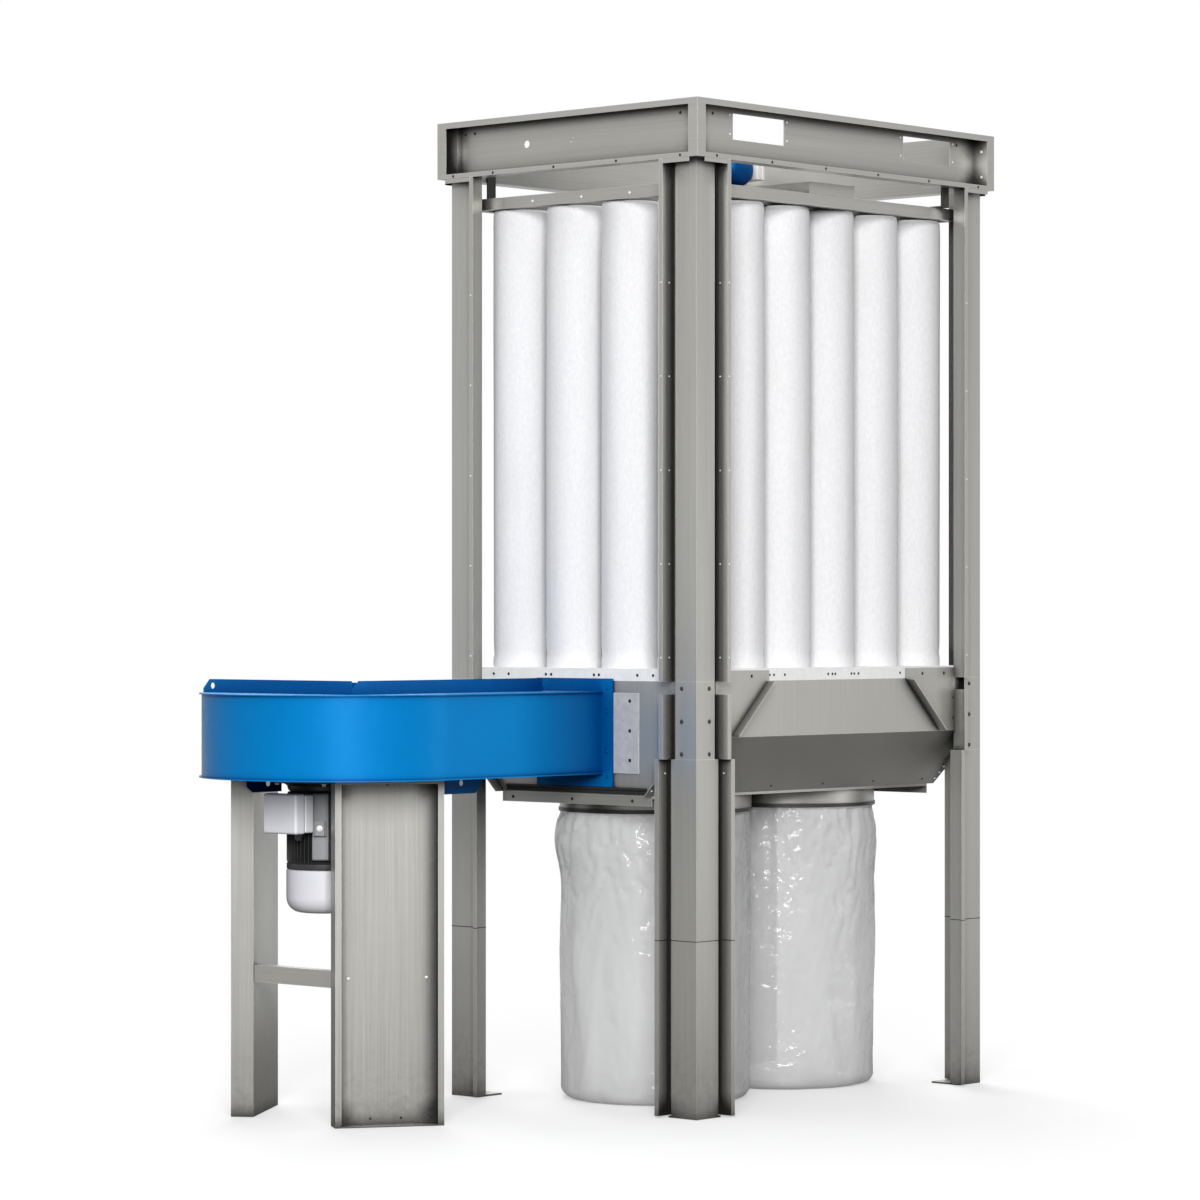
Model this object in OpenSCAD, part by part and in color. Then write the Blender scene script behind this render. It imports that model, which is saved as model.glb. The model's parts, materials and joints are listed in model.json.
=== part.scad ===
// Shaker dust collector: an open frame with filter bags over a trough hopper with two sacks,
// and a radial fan on its own stand that blows into the end of the hopper.
// Millimetres, +Z up. The floor is z = 0 and the origin is the middle of the plan.

/* [Frame] */
// Width over the corner posts, along X
frame_w = 1510; // [1450:10:1600]
// Depth over the corner posts, along Y
frame_d = 1100; // [1070:10:1160]
// Height of the whole frame
frame_h = 3300; // [3250:10:3400]
// Thickness of the folded sheet steel
sheet = 3; // [2:0.5:4]
// Face width of the upper corner posts
post_face = 90; // [80:1:100]
// Face width of the legs under the hopper
leg_face = 108; // [102:1:115]
// Depth of the inward fold beside a post face
post_fold = 25; // [20:1:30]
// Width of the flange beside the fold
post_flange = 28; // [24:1:34]
// How far the post lip stands out of the post face
post_lip = 35; // [25:1:40]
// Width of the return at the end of the lip
post_return = 14; // [10:1:18]
// Height of the bolted leg extensions
extension_h = 575; // [500:5:650]
// Depth below the tube sheet at which the legs change to the upper post section
sleeve_drop = 292; // [280:1:300]
// Depth of the top of the sleeves below the tube sheet
sleeve_top_drop = 82; // [65:1:100]
// Side of the angle that joins a sleeve to a post
splice_side = 70; // [50:1:75]
// How far a splice angle reaches up into the post
splice_reach = 150; // [100:5:200]
// Side of a square foot plate
foot_side = 120; // [110:1:130]
// Thickness of a foot plate
foot_t = 6; // [4:1:8]
// Radius of the anchor hole in a foot plate
anchor_r = 7; // [5:0.5:9]
// Distance of an anchor hole from the two outer faces of its post
anchor_in = 60; // [50:1:70]

/* [Top frame] */
// Height of the top frame channels
top_h = 190; // [180:5:210]
// Height of the lip along the top of a channel
top_lip_h = 20; // [16:1:26]
// Height of the lip along the bottom of a channel
bottom_lip_h = 15; // [12:1:20]
// Width of the upright strip that closes the end of a channel
end_strip_w = 40; // [30:1:50]
// Width of a window in the long sides
window_w = 262; // [200:1:280]
// Height of a window in the long sides
window_h = 85; // [60:1:90]
// Height of the lower edge of a window above the bottom of the channel
window_rise = 75; // [72:1:80]
// Distance between the middles of the two windows
window_pitch = 898; // [860:2:920]
// How far the pair of windows stands off the middle of its side
window_shift = 32; // [0:1:36]
// Radius of the larger cable hole in the left side
cable_r = 12.5; // [8:0.5:16]
// Radius of the smaller cable hole in the left side
cable_small_r = 8; // [5:0.5:11]
// Place of the larger cable hole along the left side
cable_y = 772; // [740:2:800]
// Place of the smaller cable hole along the left side
cable_small_y = 567; // [540:2:600]
// Height of the cable holes above the bottom of the channel
cable_rise = 100; // [80:1:120]

/* [Bags and shaker] */
// Bags in a row, along X
bags_x = 6; // [5:1:7]
// Clearance between bags in a row
bag_gap_x = 38; // [25:1:50]
// Clearance between rows of bags
bag_gap_y = 48; // [30:1:60]
// Clearance between the end bags of a row and the outer face of the posts
bag_edge_x = 60; // [50:1:75]
// Clearance between the outer rows of bags and the outer face of the posts
bag_edge_y = 78; // [60:1:90]
// Depth of the bag frame's underside below the top frame
rail_drop = 107; // [100:1:160]
// Height of the rails of the bag frame
rail_h = 39; // [30:1:45]
// Width of the rails of the bag frame
rail_w = 30; // [24:1:40]
// Distance of the rails inside the post faces
rail_in = 50; // [40:1:58]
// Width of the bar that carries a row of bags
bag_bar_w = 40; // [30:1:60]
// Width of the shaker beam across the bag frame
beam_w = 240; // [200:2:260]
// Height of the shaker beam
beam_h = 40; // [30:1:45]
// Radius of the shaker motor
shaker_r = 62; // [50:1:65]
// Length of the shaker motor
shaker_l = 230; // [180:5:260]
// Height of the foot under the shaker motor
shaker_foot_h = 18; // [12:1:20]
// Width of the foot under the shaker motor
shaker_foot_w = 130; // [110:2:150]
// Length of the shaker motor's terminal box
shaker_box_l = 90; // [70:1:100]
// Depth of the shaker motor's terminal box
shaker_box_w = 42; // [30:1:50]
// Height of the shaker motor's terminal box
shaker_box_h = 70; // [50:1:80]
// Distance of the terminal box from the shaker motor's axis
shaker_seat = 66; // [66:1:75]
// Width of a hanger
hanger_w = 40; // [30:1:50]
// Thickness of a hanger
hanger_t = 5; // [4:1:8]
// Distance of a hanger from the end of its side
hanger_in = 165; // [150:1:180]
// How far a hanger reaches up behind its channel
hanger_rise = 55; // [45:1:60]

/* [Hopper] */
// Height of the tube sheet's top
tube_sheet_z = 1455; // [1445:1:1470]
// Height of the tube sheet's turned-down edge
tube_sheet_edge = 40; // [30:1:45]
// Depth below the tube sheet at which the hopper's long walls turn inwards
ridge_drop = 224; // [212:1:240]
// Depth of the hopper's bottom plate below the tube sheet
hopper_drop = 417; // [405:1:430]
// Width of the hopper's bottom plate
trough_w = 670; // [660:2:700]
// Height of the flange around the bottom plate
bottom_edge = 33; // [25:1:40]
// Height of the hopper bottom's edge along its long sides
side_edge = 8; // [6:1:16]
// Width of the flanges along the slopes of the end walls
slope_flange = 40; // [30:1:50]
// Clearance between the flanges along the end walls' slopes and the legs
slope_flange_gap = 3; // [1:0.5:10]
// Length of a corner gusset along the tube sheet
gusset_top = 272; // [250:2:290]
// Length of a corner gusset along its lower edge
gusset_foot = 82; // [60:2:100]
// How far a gusset reaches up over the edge of the tube sheet
gusset_tab = 35; // [25:1:38]
// Depth of the fold along a gusset's long edge
gusset_fold = 30; // [20:1:34]
// Distance of a gusset inside the post faces
gusset_in = 20; // [15:1:22]
// Outer radius of a sack collar
collar_r = 325; // [300:1:328]
// Height of a sack collar
collar_h = 64; // [50:1:80]
// Distance between the middles of the two collars
collar_pitch = 664; // [664:1:690]
// Height of the strap around a collar
strap_h = 12; // [10:1:20]
// Thickness of a strap
strap_t = 3; // [2:0.5:4]
// Clearance between a strap and its collar
strap_gap = 0.3; // [0.2:0.1:1]
// How much narrower than its collar a filled sack is
sack_slack = 1; // [0:0.5:1.5]
// Radius of the rounding at the bottom of a sack
sack_round = 90; // [60:5:120]

/* [Fan] */
// Width of the fan's outlet
outlet_w = 240; // [220:2:260]
// Height of the fan casing between its side plates
casing_h = 265; // [250:1:280]
// Depth of the underside of the fan casing below the tube sheet
casing_drop = 344; // [340:1:355]
// Radius of the outer half of the scroll
scroll_r = 465; // [440:1:480]
// Radius of the inner quarter of the scroll
scroll_small_r = 385; // [360:1:400]
// Distance of the scroll's middle from the outer face of the posts
scroll_x = 707; // [690:1:730]
// Thickness of the two side plates of the casing
plate_t = 4; // [3:0.5:5]
// How far the side plates stand past the casing wall
plate_lip = 8; // [5:1:12]
// Distance of the fan's axis from the outer face of the posts
axis_x = 750; // [740:1:760]
// Distance of the fan's axis behind the scroll's middle, along Y
axis_shift = 51; // [40:1:60]
// Radius of the fan's inlet
inlet_r = 158; // [140:1:165]
// Height of the inlet collar
inlet_h = 30; // [20:1:40]
// Wall of the inlet collar
inlet_wall = 3; // [2:0.5:5]
// Height of the upstands on the casing
upstand_h = 43; // [35:1:50]
// Distance of the upstands from the fan's axis, along Y
upstand_y = 346; // [330:1:360]
// Distance of the cross upstand from the fan's axis, along X
upstand_x = 216; // [200:1:220]
// Length of the near upstand
upstand_l = 881; // [820:1:890]
// Gap between the near upstand and the end of the cross one
upstand_gap = 1; // [0.5:0.5:3]
// Cut-off corner at the end of an upstand
upstand_cut = 30; // [20:1:34]
// Radius of the lifting holes in the cross upstand and the near flange
lift_r = 10; // [8:0.5:12]
// Distance of the cross upstand's lifting hole from its cut end
lift_in = 44; // [40:1:60]
// Height of the flanges under the casing
keel_h = 55; // [45:1:60]
// Length of the near flange under the casing
keel_l = 200; // [150:5:210]
// Distance of the near flange's lifting hole from its cut end
keel_hole_in = 95; // [60:1:130]
// Depth of the near flange's lifting hole below the casing
keel_hole_drop = 20; // [18:1:26]
// Length of the far flange under the casing
keel_far_l = 75; // [60:1:80]
// Distance of the far flange's tip from the fan's axis, along X
keel_far_x = 20; // [15:1:30]
// Thickness of the outlet flange
outlet_flange_t = 6; // [4:1:8]
// Width of the outlet flange around the outlet
outlet_flange_w = 50; // [40:1:55]
// Thickness of the casing's floor under the inlet
recess_floor = 20; // [15:1:30]
// Clearance between the impeller and the wall around it
wheel_gap = 16; // [10:1:24]
// Height of the impeller
wheel_h = 132; // [110:1:145]
// Height of the impeller's back plate above the floor
wheel_lift = 20; // [12:1:28]
// Radius of the impeller's hub
hub_r = 36; // [25:1:45]
// Thickness of the impeller's plates and blades
blade_t = 4; // [3:0.5:6]
// Blades on the impeller
blades = 10; // [6:1:14]
// Distance of the inlet plate inside the outer faces of the posts, along Y
inlet_plate_in = 269; // [260:1:280]
// Wall left around the opening behind the outlet
opening_wall = 15; // [10:1:20]

/* [Motor and stand] */
// Radius of the motor's body
motor_r = 125; // [110:1:132]
// Length of the motor's body
motor_l = 280; // [250:1:300]
// Length of the motor's fan cowl
cowl_l = 143; // [120:1:160]
// Radius of the motor's flange
motor_flange_r = 175; // [160:1:180]
// Thickness of the motor's flange
motor_flange_t = 18; // [12:1:24]
// Width of the motor's terminal box, along Y
terminal_w = 153; // [120:1:160]
// Depth of the motor's terminal box, along X
terminal_d = 72; // [60:1:90]
// Height of the motor's terminal box
terminal_h = 129; // [100:1:140]
// Distance of the terminal box's back from the motor's axis
terminal_seat = 132; // [126:1:140]
// Depth of the terminal box below the motor's flange
terminal_drop = 32; // [10:1:40]
// Width of the neck that carries the terminal box
terminal_neck = 102; // [80:1:115]
// Width of a stand leg
stand_w = 354; // [330:2:370]
// Depth of a stand leg
stand_depth = 75; // [60:1:90]
// Width of the lips on a stand leg
stand_lip = 20; // [14:1:26]
// Distance of the stand legs from the fan's axis
stand_off = 232; // [228:1:245]
// Distance of a leg's middle from the axis, along its web
stand_shift = 153; // [145:1:160]
// Turn of the stand legs about the upright
stand_turn = 33.5; // [32:0.5:35]
// Depth of the flange at the top of a stand leg
stand_cap = 16; // [12:1:18]
// Depth of the stand's cross bar below the fan casing
bar_drop = 671; // [610:1:730]
// Height of the cross bar's section
bar_h = 55; // [45:1:70]
// Width of the cross bar's top flange
bar_w = 40; // [30:1:50]
// Distance of the cross bar from the fan's axis
bar_off = 146; // [140:1:148]

/* [Hidden] */
$fn = 96;

grey = "#a6a59f";
pale = "#b8b7b2";
blue = "#0a84cc";
dark = "#3a3a3c";
white = "#eeeeec";
milk = "#d2d3d4";

cut = 1;
bag_rows = 4;
top_z = frame_h - top_h;
seat_z = tube_sheet_z - tube_sheet_edge;
sleeve_z = tube_sheet_z - sleeve_drop;
sleeve_top = tube_sheet_z - sleeve_top_drop;
ridge_z = tube_sheet_z - ridge_drop;
hopper_bottom_z = tube_sheet_z - hopper_drop;
casing_z = tube_sheet_z - casing_drop;
bar_z = casing_z - bar_drop;
rail_z = top_z - rail_drop;
lip_in = post_fold + sheet;
bags_w = frame_w - 2 * bag_edge_x;
bags_d = frame_d - 2 * bag_edge_y;
bag_pitches_x = bags_x - 1;
bag_pitches_y = bag_rows - 1;
bag_room_x = (bags_w - bag_pitches_x * bag_gap_x) / bags_x;
bag_room_y = (bags_d - bag_pitches_y * bag_gap_y) / bag_rows;
bag_r = min(bag_room_x, bag_room_y) / 2;
bag_pitch_x = (bags_w - 2 * bag_r) / bag_pitches_x;
bag_pitch_y = (bags_d - 2 * bag_r) / bag_pitches_y;
bag_x0 = bag_edge_x + bag_r;
bag_y0 = bag_edge_y + bag_r;
trough_y = (frame_d - trough_w) / 2;
beam_z = rail_z + rail_h;
shaker_z = beam_z + beam_h;
collar_top = hopper_bottom_z - sheet;
sack_top = collar_top - collar_h;
sack_r = collar_r - sack_slack;
inlet_plate_x = post_fold - sheet;
flange_x = inlet_plate_x - outlet_flange_t;
outlet_y = (frame_d - outlet_w) / 2;
scroll_y = outlet_y + scroll_r;
axis_y = scroll_y + axis_shift;
scroll_far = scroll_y + scroll_r;
casing_top = casing_z + casing_h;
plate_top = casing_top + plate_t;
plate_under = casing_z - plate_t;
motor_top = plate_under;
body_top = motor_top - motor_flange_t;
body_z = body_top - motor_l;
terminal_top = body_top - terminal_drop;

min_x = -scroll_x - scroll_r - plate_lip;
max_x = frame_w + post_lip;
min_y = -post_lip;
stand_reach = (stand_shift + stand_w / 2) * sin(stand_turn) + (stand_off + stand_depth) * cos(stand_turn);
max_y = max(scroll_far + plate_lip, axis_y + stand_reach, frame_d + post_lip);
origin_x = (min_x + max_x) / 2;
origin_y = (min_y + max_y) / 2;

// Moves the plan, drawn from the corner of the front left post, onto the origin.
module placed() {
  translate([-origin_x, -origin_y, 0]) children();
}

// Draws its children at a corner: right and rear say which of the four.
module at_corner(right, rear) {
  translate([right ? frame_w : 0, rear ? frame_d : 0, 0])
    mirror([right ? 1 : 0, 0, 0])
      mirror([0, rear ? 1 : 0, 0])
        children();
}

module at_all_corners() {
  for (right = [false, true])
    for (rear = [false, true])
      at_corner(right, rear) children();
}

module box(from, to) {
  translate(from) cube(to - from);
}

// One arm of a folded corner post, seen in plan along X.
module post_arm(face) {
  end = face + post_flange;
  square([face, sheet]);
  translate([face - sheet, 0]) square([sheet, post_fold]);
  translate([face - sheet, post_fold - sheet]) square([post_flange + sheet, sheet]);
  translate([end - sheet, -post_lip]) square([sheet, post_lip + post_fold]);
  translate([end - sheet, -post_lip]) square([post_return + sheet, sheet]);
}

module post_section(face) {
  post_arm(face);
  mirror([1, -1]) post_arm(face);
}

module post_length(face, from, to) {
  translate([0, 0, from]) linear_extrude(to - from) post_section(face);
}

module upper_post(right, rear) {
  color(grey) placed() at_corner(right, rear) post_length(post_face, seat_z, top_z);
}

// Sleeves, whose faces reach up to the posts while their folds end lower.
module post_sleeves() {
  color(grey) placed() at_all_corners() {
    post_length(post_face, sleeve_z, sleeve_top);
    translate([0, 0, sleeve_top]) linear_extrude(seat_z - sleeve_top) {
      square([post_face, sheet]);
      square([sheet, post_face]);
    }
  }
}

module post_splices() {
  color(grey) placed() at_all_corners()
    translate([sheet, sheet, sleeve_z]) linear_extrude(seat_z + splice_reach - sleeve_z)
      difference() {
        square(splice_side);
        translate([sheet, sheet]) square(splice_side);
      }
}

module hopper_legs() {
  color(grey) placed() at_all_corners() post_length(leg_face, extension_h, sleeve_z);
}

module leg_extensions() {
  color(grey) placed() at_all_corners() {
    post_length(leg_face, foot_t, extension_h);
    difference() {
      cube([foot_side, foot_side, foot_t]);
      translate([anchor_in, anchor_in, -cut]) cylinder(r = anchor_r, h = foot_t + 2 * cut);
    }
  }
}

// A channel of the top frame along X, open to the front, with mitred ends.
module top_channel(length) {
  back = post_fold;
  inner = top_h - 2 * sheet;
  difference() {
    intersection() {
      difference() {
        translate([-post_lip, -post_lip, top_z]) cube([length + 2 * post_lip, post_lip + back, top_h]);
        translate([-post_lip - cut, -post_lip + sheet, top_z + sheet])
          cube([length + 2 * post_lip + 2 * cut, post_lip + back - 2 * sheet, inner]);
      }
      translate([0, 0, top_z]) linear_extrude(top_h)
        polygon([
          [-post_lip, -post_lip], [length + post_lip, -post_lip], [length - back, back], [back, back]
        ]);
    }
    box([end_strip_w - post_lip, -post_lip - cut, top_z + bottom_lip_h],
        [length + post_lip - end_strip_w, -post_lip + sheet + cut, frame_h - top_lip_h]);
  }
}

// Returns behind the end strips of a long channel, which close the corners of the top frame.
module channel_returns() {
  strip = end_strip_w - post_lip;
  for (right = [0, 1])
    translate([right * frame_w, 0, 0]) mirror([right, 0, 0]) {
      box([strip - sheet, sheet - post_lip, top_z + sheet], [strip, post_fold, frame_h - sheet]);
      channel_corner(strip - sheet);
    }
}

// The stretch of a long channel's web that runs on into a corner.
module channel_corner(start) {
  box([start, post_fold - sheet, top_z + sheet], [post_fold, post_fold, frame_h - sheet]);
}

module short_channel() {
  difference() {
    mirror([1, -1, 0]) top_channel(frame_d);
    channel_corner(0);
    translate([0, frame_d, 0]) mirror([0, 1, 0]) channel_corner(0);
  }
}

module long_channel() {
  difference() {
    top_channel(frame_w);
    window_cuts();
  }
  channel_returns();
}

module window_cuts() {
  for (side = [-1, 1])
    translate([frame_w / 2 + window_shift + side * window_pitch / 2 - window_w / 2, 0, top_z + window_rise])
      cube([window_w, post_fold + cut, window_h]);
}

module top_frame_front() {
  color(pale) placed() long_channel();
}

module top_frame_rear() {
  color(pale) placed() translate([0, frame_d, 0]) mirror([0, 1, 0]) long_channel();
}

module top_frame_left() {
  color(pale) placed() difference() {
    short_channel();
    translate([0, cable_y, top_z + cable_rise]) rotate([0, 90, 0])
      cylinder(r = cable_r, h = post_fold + cut);
    translate([0, cable_small_y, top_z + cable_rise]) rotate([0, 90, 0])
      cylinder(r = cable_small_r, h = post_fold + cut);
  }
}

module top_frame_right() {
  color(pale) placed() translate([frame_w, 0, 0]) mirror([1, 0, 0]) short_channel();
}

module bag_frame() {
  color(grey) placed() {
    difference() {
      box([rail_in, rail_in, rail_z], [frame_w - rail_in, frame_d - rail_in, beam_z]);
      box([rail_in + rail_w, rail_in + rail_w, rail_z - cut],
          [frame_w - rail_in - rail_w, frame_d - rail_in - rail_w, beam_z + cut]);
    }
    for (row = [0:bag_pitches_y])
      translate([rail_in, bag_y0 + row * bag_pitch_y - bag_bar_w / 2, rail_z])
        cube([frame_w - 2 * rail_in, bag_bar_w, rail_h]);
  }
}

module shaker_beam() {
  color(grey) placed() translate([(frame_w - beam_w) / 2, rail_in, beam_z]) difference() {
    cube([beam_w, frame_d - 2 * rail_in, beam_h]);
    translate([sheet, -cut, -cut]) cube([beam_w - 2 * sheet, frame_d, beam_h - sheet + cut]);
  }
}

module shaker_motor() {
  middle_z = shaker_z + shaker_foot_h + shaker_r;
  color(blue) placed() translate([frame_w / 2, frame_d / 2, 0]) {
    translate([0, shaker_l / 2, middle_z]) rotate([90, 0, 0]) cylinder(r = shaker_r, h = shaker_l);
    box([-shaker_foot_w / 2, -shaker_l / 2, shaker_z],
        [shaker_foot_w / 2, shaker_l / 2, shaker_z + shaker_foot_h]);
    box([-shaker_r / 2, -shaker_l / 2, shaker_z], [shaker_r / 2, shaker_l / 2, middle_z]);
    box([0, -shaker_l / 2, middle_z - shaker_box_h / 2],
        [shaker_seat, shaker_box_l - shaker_l / 2, middle_z + shaker_box_h / 2]);
  }
}

module shaker_terminal_box() {
  middle_z = shaker_z + shaker_foot_h + shaker_r;
  color(white) placed()
    translate([frame_w / 2 + shaker_seat, (frame_d - shaker_l) / 2, middle_z - shaker_box_h / 2])
      cube([shaker_box_w, shaker_box_l, shaker_box_h]);
}

// Straps bolted behind the long channels, with a foot that lies on the rail.
module hanger() {
  foot_end = rail_in + rail_w;
  top = top_z + hanger_rise;
  translate([hanger_in - hanger_w / 2, post_fold, beam_z]) {
    cube([hanger_w, hanger_t, top - beam_z]);
    cube([hanger_w, foot_end - post_fold, hanger_t]);
  }
}

module hangers() {
  color(dark) placed() at_all_corners() hanger();
}

module filter_bags_row(row) {
  color(white) placed()
    for (i = [0:bag_pitches_x])
      translate([bag_x0 + i * bag_pitch_x, bag_y0 + row * bag_pitch_y, tube_sheet_z])
        cylinder(r = bag_r, h = rail_z - tube_sheet_z);
}

module tube_sheet() {
  color(pale) placed() difference() {
    box([post_fold, post_fold, seat_z], [frame_w - post_fold, frame_d - post_fold, tube_sheet_z]);
    box([lip_in, lip_in, seat_z - cut], [frame_w - lip_in, frame_d - lip_in, tube_sheet_z - sheet]);
  }
}

// Long wall of the hopper: upright under the tube sheet, then sloping in to the bottom plate.
module hopper_long_wall() {
  slope = (trough_y - post_fold) / (ridge_z - hopper_bottom_z);
  across = sheet * sqrt(1 + slope * slope);
  translate([lip_in, 0, 0]) rotate([90, 0, 90]) linear_extrude(frame_w - 2 * lip_in)
    polygon([
      [post_fold, seat_z], [lip_in, seat_z], [lip_in, ridge_z],
      [trough_y + across, hopper_bottom_z], [trough_y, hopper_bottom_z], [post_fold, ridge_z]
    ]);
}

module hopper_front_wall() {
  color(grey) placed() hopper_long_wall();
}

module hopper_rear_wall() {
  color(grey) placed() translate([0, frame_d, 0]) mirror([0, 1, 0]) hopper_long_wall();
}

// The way from the fan's outlet through the inlet plate and the end wall.
module outlet_opening() {
  box([0, outlet_y + opening_wall, casing_z + opening_wall],
      [lip_in + cut, outlet_y + outlet_w - opening_wall, casing_top - opening_wall]);
}

// End wall with flanges that stand out along the two slopes.
module hopper_end(open) {
  run = trough_y - post_fold;
  fall = ridge_z - hopper_bottom_z;
  turn = atan2(fall, run);
  flange_l = (trough_y - leg_face - post_flange - slope_flange_gap) / cos(turn);
  difference() {
    union() {
      translate([post_fold, 0, 0]) rotate([90, 0, 90]) linear_extrude(sheet)
        polygon([
          [post_fold, seat_z], [post_fold, ridge_z], [trough_y, hopper_bottom_z],
          [frame_d - trough_y, hopper_bottom_z], [frame_d - post_fold, ridge_z], [frame_d - post_fold, seat_z]
        ]);
      for (rear = [0, 1])
        translate([0, rear * frame_d, 0]) mirror([0, rear, 0])
          translate([lip_in - slope_flange, trough_y, hopper_bottom_z]) rotate([-turn, 0, 0])
            translate([0, -flange_l, 0]) cube([slope_flange, flange_l, sheet]);
    }
    if (open)
      outlet_opening();
  }
}

module hopper_end_left() {
  color(grey) placed() hopper_end(true);
}

module hopper_end_right() {
  color(grey) placed() translate([frame_w, 0, 0]) mirror([1, 0, 0]) hopper_end(false);
}

module at_collars() {
  for (side = [-1, 1])
    translate([frame_w / 2 + side * collar_pitch / 2, frame_d / 2, 0]) children();
}

module hopper_bottom() {
  color(grey) placed() difference() {
    box([post_fold, trough_y, hopper_bottom_z - bottom_edge],
        [frame_w - post_fold, frame_d - trough_y, hopper_bottom_z]);
    box([lip_in, trough_y + sheet, hopper_bottom_z - bottom_edge - cut],
        [frame_w - lip_in, frame_d - trough_y - sheet, collar_top]);
    box([lip_in, trough_y - cut, hopper_bottom_z - bottom_edge - cut],
        [frame_w - lip_in, frame_d - trough_y + cut, hopper_bottom_z - side_edge]);
    at_collars() translate([0, 0, collar_top - cut]) cylinder(r = collar_r - sheet, h = sheet + 2 * cut);
  }
}

// Gusset between a post and the tube sheet, with a fold along its long edge.
module corner_gusset() {
  start = post_face + post_flange;
  low = ridge_z;
  rise = seat_z - low;
  tab_top = min(seat_z + gusset_tab, tube_sheet_z);
  run = gusset_top - gusset_foot;
  fold_start = sheet;
  fold_end = norm([run, rise]) - 2 * sheet;
  translate([start, gusset_in + sheet, 0]) rotate([90, 0, 0]) linear_extrude(sheet)
    polygon([[0, tab_top], [0, low], [gusset_foot, low], [gusset_top, seat_z], [gusset_top, tab_top]]);
  translate([start + gusset_foot, gusset_in - gusset_fold, low]) rotate([0, -atan2(rise, run), 0])
    translate([fold_start, 0, 0]) cube([fold_end - fold_start, gusset_fold + sheet, sheet]);
}

module corner_gussets() {
  color(pale) placed() at_all_corners() corner_gusset();
}

module sack_collars() {
  color(grey) placed() at_collars() translate([0, 0, sack_top]) difference() {
    cylinder(r = collar_r, h = collar_h);
    translate([0, 0, -cut]) cylinder(r = collar_r - sheet, h = collar_h + 2 * cut);
  }
}

module sack_straps() {
  color(dark) placed() at_collars() translate([0, 0, sack_top]) difference() {
    cylinder(r = collar_r + strap_gap + strap_t, h = strap_h);
    translate([0, 0, -cut]) cylinder(r = collar_r + strap_gap, h = strap_h + 2 * cut);
  }
}

module sack(side) {
  color(milk) placed() translate([frame_w / 2 + side * collar_pitch / 2, frame_d / 2, 0])
    rotate_extrude() {
      square([sack_r - sack_round, sack_top]);
      translate([0, sack_round]) square([sack_r, sack_top - sack_round]);
      intersection() {
        translate([sack_r - sack_round, sack_round]) circle(sack_round);
        square([sack_r, sack_round]);
      }
    }
}

module inlet_plate() {
  color(pale) placed() difference() {
    box([inlet_plate_x, inlet_plate_in, casing_z], [post_fold, frame_d - inlet_plate_in, casing_top]);
    outlet_opening();
  }
}

// Outline of the scroll in plan, grown outwards by a margin.
module scroll_outline(margin) {
  right = scroll_small_r - scroll_x;
  translate([-scroll_x, scroll_y]) difference() {
    circle(scroll_r + margin);
    translate([0, -scroll_r - margin - cut]) square(2 * (scroll_r + margin) + 2 * cut);
  }
  translate([-scroll_x, scroll_far - scroll_small_r]) intersection() {
    circle(scroll_small_r + margin);
    square(scroll_small_r + margin);
  }
  translate([-scroll_x - cut, outlet_y - margin])
    square([right + scroll_x + margin + cut, scroll_far - scroll_small_r - outlet_y + margin]);
  translate([-scroll_x - cut, outlet_y - margin])
    square([scroll_x + flange_x + cut, outlet_w + 2 * margin]);
}

module at_axis() {
  translate([-axis_x, axis_y, 0]) children();
}

module fan_casing() {
  color(blue) placed() difference() {
    translate([0, 0, casing_z]) linear_extrude(casing_h) scroll_outline(0);
    at_axis() translate([0, 0, casing_z + recess_floor]) cylinder(r = inlet_r, h = casing_h);
  }
}

module fan_top_plate() {
  color(blue) placed() {
    difference() {
      translate([0, 0, casing_top]) linear_extrude(plate_t) scroll_outline(plate_lip);
      at_axis() translate([0, 0, casing_top - cut]) cylinder(r = inlet_r, h = plate_t + 2 * cut);
    }
    at_axis() translate([0, 0, plate_top]) difference() {
      cylinder(r = inlet_r + inlet_wall, h = inlet_h);
      translate([0, 0, -cut]) cylinder(r = inlet_r, h = inlet_h + 2 * cut);
    }
  }
}

module fan_bottom_plate() {
  color(blue) placed() translate([0, 0, plate_under]) linear_extrude(plate_t) scroll_outline(plate_lip);
}

module fan_outlet_flange() {
  color(blue) placed()
    box([flange_x, outlet_y - outlet_flange_w, casing_z - outlet_flange_w + plate_t],
        [inlet_plate_x, outlet_y + outlet_w + outlet_flange_w, casing_top + outlet_flange_w - plate_t]);
}

// Upright strip along X with one top corner cut off at its start.
module cut_strip(length, height) {
  rotate([90, 0, 0]) linear_extrude(sheet)
    polygon([[0, 0], [length, 0], [length, height], [upstand_cut, height], [0, height - upstand_cut]]);
}

// A strip with a lifting hole so far from its cut end and above its foot.
module lift_strip(length, height, along, up) {
  difference() {
    cut_strip(length, height);
    translate([along, cut, up]) rotate([90, 0, 0]) cylinder(r = lift_r, h = sheet + 2 * cut);
  }
}

module fan_upstands() {
  cross_l = 2 * upstand_y - sheet - upstand_gap;
  color(blue) placed() at_axis() translate([-upstand_x, 0, plate_top]) {
    translate([0, -upstand_y + sheet, 0]) cut_strip(upstand_l, upstand_h);
    translate([sheet, upstand_y, 0]) rotate(-90) lift_strip(cross_l, upstand_h, lift_in, upstand_h / 2);
  }
}

module fan_keels() {
  color(blue) placed() at_axis() translate([0, 0, plate_under]) mirror([0, 0, 1]) {
    translate([motor_flange_r + keel_l, sheet - upstand_y, 0]) mirror([1, 0, 0])
      lift_strip(keel_l, keel_h, keel_hole_in, keel_hole_drop);
    translate([-keel_far_x, upstand_y, 0]) cut_strip(keel_far_l, keel_h);
  }
}

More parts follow.
